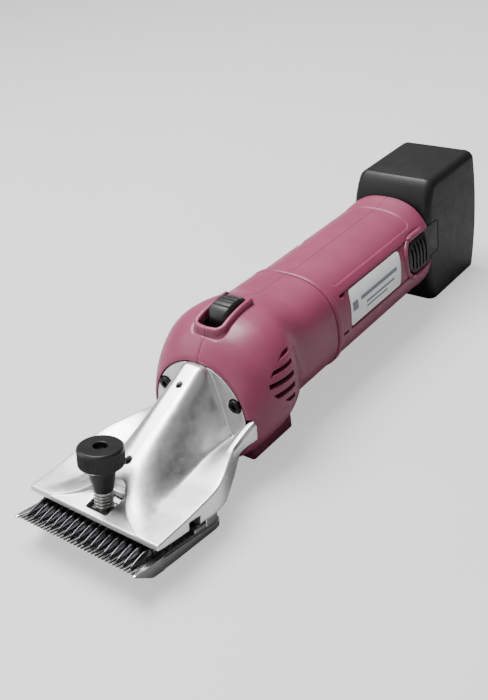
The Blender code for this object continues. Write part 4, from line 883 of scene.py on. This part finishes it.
def head_screws():
    """Socket screws down their counterbores."""
    for side, name in SIDES:
        place = along_y(side * HEAD_SCREW[0], *HEAD_SCREW[1:])
        profile = [(0, 0.2), (3.3, 0.2), (3.3, 3.2), (1.6, 3.2), (1.6, 8.2), (0, 8.2)]
        screw = lathe(f"head_screw_{name}_fine", profile, place, 64, 0.45)
        hexagon = [(1.5 * math.cos(math.pi * k / 3), 1.5 * math.sin(math.pi * k / 3)) for k in range(6)]
        cut(screw, prism("socket", hexagon, -4, 1.9, place))
        dress(screw, OXIDE, "grip", [f"head_screw_{name}"], 35)


# ---- Comb and cutter ----


def tooth(name, rings, narrow, ahead):
    """A lofted tooth whose first ring is drawn in once more, ahead of it, for a blunt tip."""
    rings = np.array(rings)
    middle = rings[0].mean(0)
    return loft(name, [middle + (rings[0] - middle) * narrow - ahead, *rings], HEAD)


def comb():
    """The fixed blade: ground plate, rear land and 35 tapering teeth, the outer two of them wide."""
    count = 35
    pitch = 76 / count
    rows = [(16.0, 38.05, -6.9), (24, 38.1, -6.5), (40, 38.2, -5.3), (52, 38.4, -4.3)]
    rows += [(54.6, 38.0, -4.0), (56, 37.0, -3.7), (56.6, 35.6, -3.3)]
    rings = []
    for u, half, low in rows:
        corners = [(-half, low), (half, low), (half, -0.9), (half - 0.8, 0), (0.8 - half, 0), (-half, -0.9)]
        rings.append([(x, u, v) for x, v in rounded(corners, [0.5, 0.5, 0.15, 0.15, 0.15, 0.15], 3)])
    plate = loft("comb_plate", rings, HEAD)
    land = [(-37.8, 46), (37.8, 46), (37.8, 53.5), (35.4, 56.0), (-35.4, 56.0), (-37.8, 53.5)]
    fuse(plate, prism("land", rounded(land, 0.6, 4), -1, 4.0, HEAD, 0.6, 4))
    shelf = [(-37.4, 38.5), (37.4, 38.5), (37.4, 48), (-37.4, 48)]
    fuse(plate, prism("shelf", rounded(shelf, 0.4, 3), -1, 1.6, HEAD, 0.3, 3))
    for side in (-1, 1):
        seat = [(0, -8), (4.2, -8), (4.2, -2.6), (2.3, -2.6), (2.3, 8), (0, 8)]
        cut(plate, lathe("comb_seat", seat, head_at(side * COMB_SCREW[0], COMB_SCREW[1], 0), 48))
        cut(plate, box("rail", (side * 39, 27, 0.9), (side * 36.2, 38, 5), 0.2, HEAD))
    parts = [plate]
    for i in range(count):
        centre = (i - 17) * pitch
        rings = []
        for t in np.linspace(0, 1, 12):
            u = 18 * t
            low = -min(7.0, 0.7 + 0.58 * u)
            if i in (0, count - 1):
                sign = 1 if i else -1
                near, far = sorted((37.95 * sign, sign * (36.75 - 3.2 * min(1, u / 9))))
                rise = 0.08 * min(1, u / 6)
                corners = [(near, low), (far, low), (far, rise), (near, rise)]
                rings.append([(x, u - 0.6, v) for x, v in rounded(corners, 0.12, 2)])
                continue
            wide = pitch * min(0.46, 0.27 + 0.19 * u / 7)
            foot, high = wide * 0.62, -0.02 * t
            corners = [(centre - foot, low), (centre + foot, low)]
            corners += [(centre + wide, high), (centre - wide, high)]
            rings.append([(x, u, v) for x, v in rounded(corners, 0.1, 2)])
        parts.append(tooth(f"tooth{i}", rings, (0.35, 1, 0.45), (0, 0.28, 0)))
    dress(gather("comb_fine", parts), COMB, "grip", ["comb_blade"], 35)


def comb_screws():
    for side, name in SIDES:
        place = head_at(side * COMB_SCREW[0], COMB_SCREW[1], 0)
        profile = [(0, -4.9), (3.8, -4.9), (3.8, -2.9), (1.7, -2.9), (1.7, 13), (0, 13)]
        screw = lathe(f"comb_screw_{name}_fine", profile, place, 64, 0.4)
        cut(screw, box("slot", (-5, -0.5, -6), (5, 0.5, -4.0), 0.0, place))
        dress(screw, STEEL, "grip", [f"comb_screw_{name}"], 35)


def cutter():
    """The moving blade: 17 leaf-shaped teeth that rise to the bar under the head's lip."""
    pitch = 69.6 / 17
    rings = []
    for u, high in [(14.2, 4.25), (15.2, 4.4), (29.5, 4.4), (30, 4.1)]:
        corners = [(-34.8, 0.16), (34.8, 0.16), (34.8, high), (-34.8, high)]
        rings.append([(x, u, v) for x, v in rounded(corners, 0.3, 3)])
    parts = [loft("cutter_bar", rings, HEAD)]
    for side in (-1, 1):
        drill(parts[0], 2.3, 2.2, 8, head_at(side * 13, 26, 0))
    cut(parts[0], box("relief", (-26, 18.5, 3.4), (26, 22.5, 8), 0.3, HEAD))
    for i in range(17):
        centre = (i - 8) * pitch
        rings = []
        for t in np.linspace(0, 1, 22):
            u = 2.4 + 13.0 * t
            wide = pitch * (0.07 + 0.36 * math.sin(math.pi / 2 * min(1, t * 1.15)) ** 0.9)
            high = 0.75 + 3.6 * math.sin(math.pi / 2 * min(1, t * 1.12)) ** 0.85
            crest = wide * (0.62 - 0.42 * math.sin(math.pi * min(1, t * 1.05)))
            waist = 0.18 + (high - 0.18) * 0.45
            hip = wide * 0.86
            corners = [(-wide, 0.18), (wide, 0.18), (hip, waist)]
            corners += [(crest, high), (-crest, high), (-hip, waist)]
            section = rounded(corners, [0.05, 0.05, 0.3, 0.12, 0.12, 0.3], 3)
            rings.append([(centre + x, u, v) for x, v in section])
        parts.append(tooth(f"leaf{i}", rings, 0.4, (0, 0.3, 0.1)))
    dress(gather("cutter_fine", parts), CUTTER, "lever", ["cutter_blade"], 40)


# ---- Tension group ----


STUD = 20.2


def tension_group():
    """Knurled knob, washer, spring and stud, and the fulcrum pin's end behind them."""
    place = head_at(0, STUD, 0)
    segments = 240
    low, rim, top = 18.4, 30.3, 40.2
    profile = [(2.5, low), (4.6, low), (6.2, rim - 3), (6.2, rim), (9.3, rim), (10.6, rim + 1.2)]
    profile += [(10.6, top - 0.9), (9.7, top), (3.3, top), (3.3, top - 3), (2.5, top - 3)]
    outline = rounded(profile, [0.2, 0.5, 1.5, 0.6, 0.8, 0.5, 0.5, 0.5, 0.35, 0.1, 0.1], 5)
    angle = 2 * math.pi * np.arange(segments) / segments
    wave = np.cos(60 * angle)
    knurl = 0.17 * (1 + np.sign(wave) * np.abs(wave) ** 0.5)
    rings = []
    dense = []
    for a, b in zip(outline, outline[1:] + outline[:1]):
        count = max(1, int(np.linalg.norm(b - a) / 0.9))
        dense += [a + (b - a) * k / count for k in range(count)]
    for r, h in dense:
        share = step(10.2, 10.55, r) * step(rim + 1.3, rim + 1.9, h) * step(top - 1.2, top - 1.8, h)
        radius = r - share * knurl
        rings.append(np.stack([radius * np.cos(angle), radius * np.sin(angle), np.full(segments, h)], -1))
    knob = loft("tension_knob_fine", rings, place, closed=True)
    dress(knob, KNOB, "tension_knob", ["tension_nut"], 30)

    profile = [(2.5, 16.9), (4.6, 16.9), (4.6, 18.1), (2.5, 18.1)]
    washer = lathe("tension_washer_fine", profile, place, 64, 0.25)
    dress(washer, STEEL, "tension_sleeve", ["tension_washer"], 35)

    turns, steps, wire, radius, bottom, crest = 4.4, 36, 0.62, 3.8, 9.4, 16.6
    rings = []
    total = int(turns * steps)
    for i in range(total + 1):
        share = i / total
        t = 2 * math.pi * i / steps
        climb = float(np.interp(share, [0, 0.12, 0.88, 1], [0, 0.04, 0.96, 1]))
        rise = bottom + wire + (crest - bottom - 2 * wire) * climb
        out = np.array((math.cos(t), math.sin(t), 0))
        k = 2 * math.pi * np.arange(12) / 12
        section = np.outer(radius + wire * np.cos(k), out) + np.outer(wire * np.sin(k), (0, 0, 1))
        rings.append(section + (0, 0, rise))
    spring = loft("tension_coil", rings, place)
    dress(spring, SPRING, "tension_sleeve", ["tension_spring"], 40)
    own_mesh(spring)

    bolt = []
    for h in np.arange(6.5, 36.01, 0.125):
        thread = 0.12 * math.cos(2 * math.pi * h / 0.5) if 8 < h < 35.4 else 0
        bolt.append((2.05 + thread - max(0, h - 35.6), h))
    stud = lathe("tension_stud", [(0, 6.5)] + bolt + [(0, 36)], place, 48)
    dress(stud, STEEL, "grip", ["tension_bolt"], 60)

    base = float(ridge_height(PIVOT))
    profile = [(0, 7), (1.6, 7), (1.6, base + 0.3), (1.1, base + 0.9), (0, base + 1.0)]
    peg = lathe("fulcrum_peg", profile, head_at(0, PIVOT, 0), 48, 0.35)
    dress(peg, OXIDE, "grip", ["lever_pivot_pin"], 35)


# ---- Battery ----


def battery_rings():
    """Rounded box: the front face bows forward, the crown is domed and all edges are rounded."""
    rings = []
    turns = np.linspace(0, math.pi / 2, 11)
    foot, crown = 2.2, 4.2
    flank = np.linspace(foot, 80 - crown, 60)[1:-1]
    below, above = 1 - np.cos(turns), 1 - np.cos(turns[::-1])
    z = np.concatenate([foot * below, flank, 80 - crown * above])
    below, above = 1 - np.sin(turns), 1 - np.sin(turns[::-1])
    inset = np.concatenate([foot * below, 0 * flank, crown * above])
    for level, drawn in zip(z, inset):
        lift = (level - 42) / 38 if level > 42 else (42 - level) / 42
        half = 25.9 - (1.5 if level > 42 else 2.1) * lift**2 - drawn
        front = 155 + (8.6 * lift**3 if level > 42 else 9.5 * lift**2.4) + 0.3 * drawn
        rear = 218 - 0.9 * lift**2 - 0.9 * drawn
        corners = [(half, rear), (-half, rear), (-half, front), (half, front)]
        near, far = 5.0 - 0.8 * drawn, 3.8 - 0.6 * drawn
        flat = np.array(rounded(corners, [far, far, near, near], 12))
        drop = -1.9 * (flat[:, 0] / 25.9) ** 2 * float(step(56, 80, level))
        rings.append(np.column_stack([flat, np.full(len(flat), level) + drop]))
    return rings


def battery():
    """The pack: shell with its tongue, latch pockets and slots, and the lid that closes its rear."""
    shell = loft("battery_fine", battery_rings())
    fuse(shell, box("tongue", (-18, 121, 24), (18, 162, 60), 1.5))
    pocket = rounded([(140, 34.25), (167.35, 34.25), (167.35, 54.75), (140, 54.75)], [0, 2.5, 2.5, 0], 6)
    for side in (-1, 1):
        cut(shell, side_prism("pocket", side, pocket, 20.5, 40))
        cut(shell, box("slot", (side * 7.2 - 3.5, 110, 30), (side * 7.2 + 3.5, 130, 50), 0.4))
        cut(shell, box("guide", (side * 18.6, 119, 28), (side * 16.6, 150, 31), 0.2))
    halves = []
    for name, low, high in (("battery_shell_fine", 100, 213.9), ("battery_cover_fine", 214.1, 240)):
        half = twin(shell, name)
        boolean(half, box("keep", (-60, low, -20), (60, high, 120)), "INTERSECT")
        halves.append(half)
    cut(halves[0], box("hollow", (-21.5, 166, 6), (21.5, 230, 75), 2.0))
    cut(halves[0], box("upper_slot", (-9, 119, 52), (9, 131, 56), 0.4))
    cut(halves[0], box("lower_slot", (-6, 119, 23), (6, 127, 25), 0.3))
    dress(halves[0], CHARCOAL, "battery", ["battery_shell"], 35)
    dress(halves[1], CHARCOAL, "battery", ["battery_cover"], 35)
    bpy.data.objects.remove(shell)


def latches():
    """Ribbed D-shaped side buttons whose tail runs back into the pack's side."""
    front = rounded([(127.0, 35.6), (149, 35.6), (149, 54.4), (127.0, 54.4)], [9.3, 0.6, 0.6, 9.3], 12)
    tail = rounded([(141, 34.6), (167.0, 34.6), (167.0, 54.4), (141, 54.4)], [0.3, 2.2, 2.2, 0.3], 6)
    for side, name in SIDES:
        button = side_prism(f"latch_{name}_fine", side, front, 23.8, 31.5, 0.4)
        cut(button, crown_cutter(side))
        fuse(button, side_prism("tail", side, tail, 23, 25.75, 0.3))
        for i in range(5):
            y = 130.6 + 3.7 * i
            reach = min(9.0, math.sqrt(max(1.0, 9.3**2 - max(0.0, 136.3 - y - 0.8) ** 2)) - 1.6)
            low, high = 45 - reach, 45 + reach
            groove = rounded([(y, low), (y + 1.7, low), (y + 1.7, high), (y, high)], 0.7, 4)
            cut(button, side_prism("groove", side, groove, 26.6, 34))
        dress(button, CHARCOAL, f"latch_{name}", [f"latch_{name}"], 35)


def crown_cutter(side):
    """Trims a latch button to a curve that runs with the grip's side."""
    z = np.linspace(30, 60, 31)
    x = np.minimum(grip_side(z, 0.7), 29.5)
    section = [(a, b) for a, b in zip(x, z)] + [(40, 60), (40, 30)]
    return loft("crown", [[(side * a, y, b) for a, b in section] for y in (120, 155)])


# ---- Hidden pieces that show through openings or when the battery is off ----


def drive_parts():
    """Materials for the CAD pieces kept as they are."""
    paints = (
        (DULL_CAST, "gear_case_plate motor_mount_plate motor_can"),
        (STEEL, "crank_bearing_front crank_bearing_rear drive_lever tension_yoke crank_shaft"),
        (STEEL, "crank_roller motor_shaft motor_pinion"),
        (BLACK, "switch_body motor_end_cap contact_block motor_lead_black cooling_fan"),
        (RED, "motor_lead_red"),
        (BRASS, "crank_gear battery_terminal_left battery_terminal_right"),
        (WINDINGS, "motor_armature"),
        (SPRING, "latch_spring_left latch_spring_right"),
        (WRAP, " ".join(f"battery_cell_{number}" for number in range(1, 7))),
    )
    for paint, names in paints:
        for name in names.split():
            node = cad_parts[name]
            node.data.materials.clear()
            node.data.materials.append(paint)


# ---- Studio ----


def studio():
    """A pale floor that glows to the camera only, a grey world brighter from the left, four lamps."""
    s = Shader("studio_floor")
    pale = s.mix(s.ramp(s.noise(60, 3), 0.3, 0.7), (0.40, 0.40, 0.40, 1), (0.415, 0.415, 0.415, 1))
    seen = s.node("ShaderNodeLightPath").outputs["Is Camera Ray"]
    s.finish(pale, 0.6, Emission_Color=(1, 1, 1, 1), Emission_Strength=s.calc("MULTIPLY", seen, 0.68))
    side = 6000
    corners = [(-side, -side, -0.2), (side, -side, -0.2), (side, side, -0.2), (-side, side, -0.2)]
    floor = make("floor", corners, [(0, 1, 2, 3)])
    floor.data.materials.append(s.made)
    world = bpy.data.worlds.new("studio")
    world.use_nodes = True
    tree = world.node_tree
    background = tree.nodes["Background"]
    where = tree.nodes.new("ShaderNodeTexCoord")
    split = tree.nodes.new("ShaderNodeSeparateXYZ")
    ramp = tree.nodes.new("ShaderNodeValToRGB")
    tree.links.new(where.outputs["Generated"], split.inputs[0])
    tree.links.new(split.outputs[2], ramp.inputs[0])
    tree.links.new(ramp.outputs[0], background.inputs[0])
    ramp.color_ramp.elements[0].position = 0.5
    ramp.color_ramp.elements[0].color = (0.28, 0.28, 0.28, 1)
    ramp.color_ramp.elements[1].position = 0.9
    ramp.color_ramp.elements[1].color = (1.0, 1.0, 1.0, 1)
    shade = tree.nodes.new("ShaderNodeMapRange")
    for socket, value in zip(("From Min", "From Max", "To Min", "To Max"), (-0.1, 0.6, 0.85, 0.2)):
        shade.inputs[socket].default_value = value
    tree.links.new(split.outputs[0], shade.inputs["Value"])
    tree.links.new(shade.outputs[0], background.inputs[1])
    bpy.context.scene.world = world
    lamps = (
        ("key", (-0.35, 0.05, 1.15), 0.7, 0.8, 34.0),
        ("left", (-0.90, -0.55, 0.60), 0.6, 0.5, 3.5),
        ("front", (0.15, -1.1, 0.35), 0.6, 0.3, 1.6),
        ("right", (1.0, -0.1, 0.5), 0.4, 0.6, 0.4),
    )
    for name, place, wide, tall, power in lamps:
        lamp = bpy.data.lights.new(name, "AREA")
        lamp.shape = "RECTANGLE"
        lamp.size, lamp.size_y = wide, tall
        lamp.energy = power
        obj = bpy.data.objects.new(name, lamp)
        obj.location = place
        obj.rotation_euler = (Vector((0, 0.02, 0.03)) - Vector(place)).to_track_quat("-Z", "Y").to_euler()
        bpy.context.scene.collection.objects.link(obj)
    lens = bpy.data.cameras.new("camera")
    lens.lens = 50.35
    lens.sensor_width = 36
    lens.clip_start = 0.01
    eye = bpy.data.objects.new("camera", lens)
    right = (0.78680582, 0.60567209, -0.11873469)
    up = (-0.24127058, 0.47889459, 0.84406663)
    back = (0.568089, -0.63546934, 0.52292791)
    spot = (0.28148, -0.30391, 0.30344)
    eye.matrix_world = Matrix([(r, u, b, p) for r, u, b, p in zip(right, up, back, spot)] + [(0, 0, 0, 1)])
    bpy.context.scene.collection.objects.link(eye)
    bpy.context.scene.camera = eye


casing()
casing_screws()
labels()
slider()
head()
head_screws()
comb()
comb_screws()
cutter()
tension_group()
battery()
latches()
drive_parts()
studio()
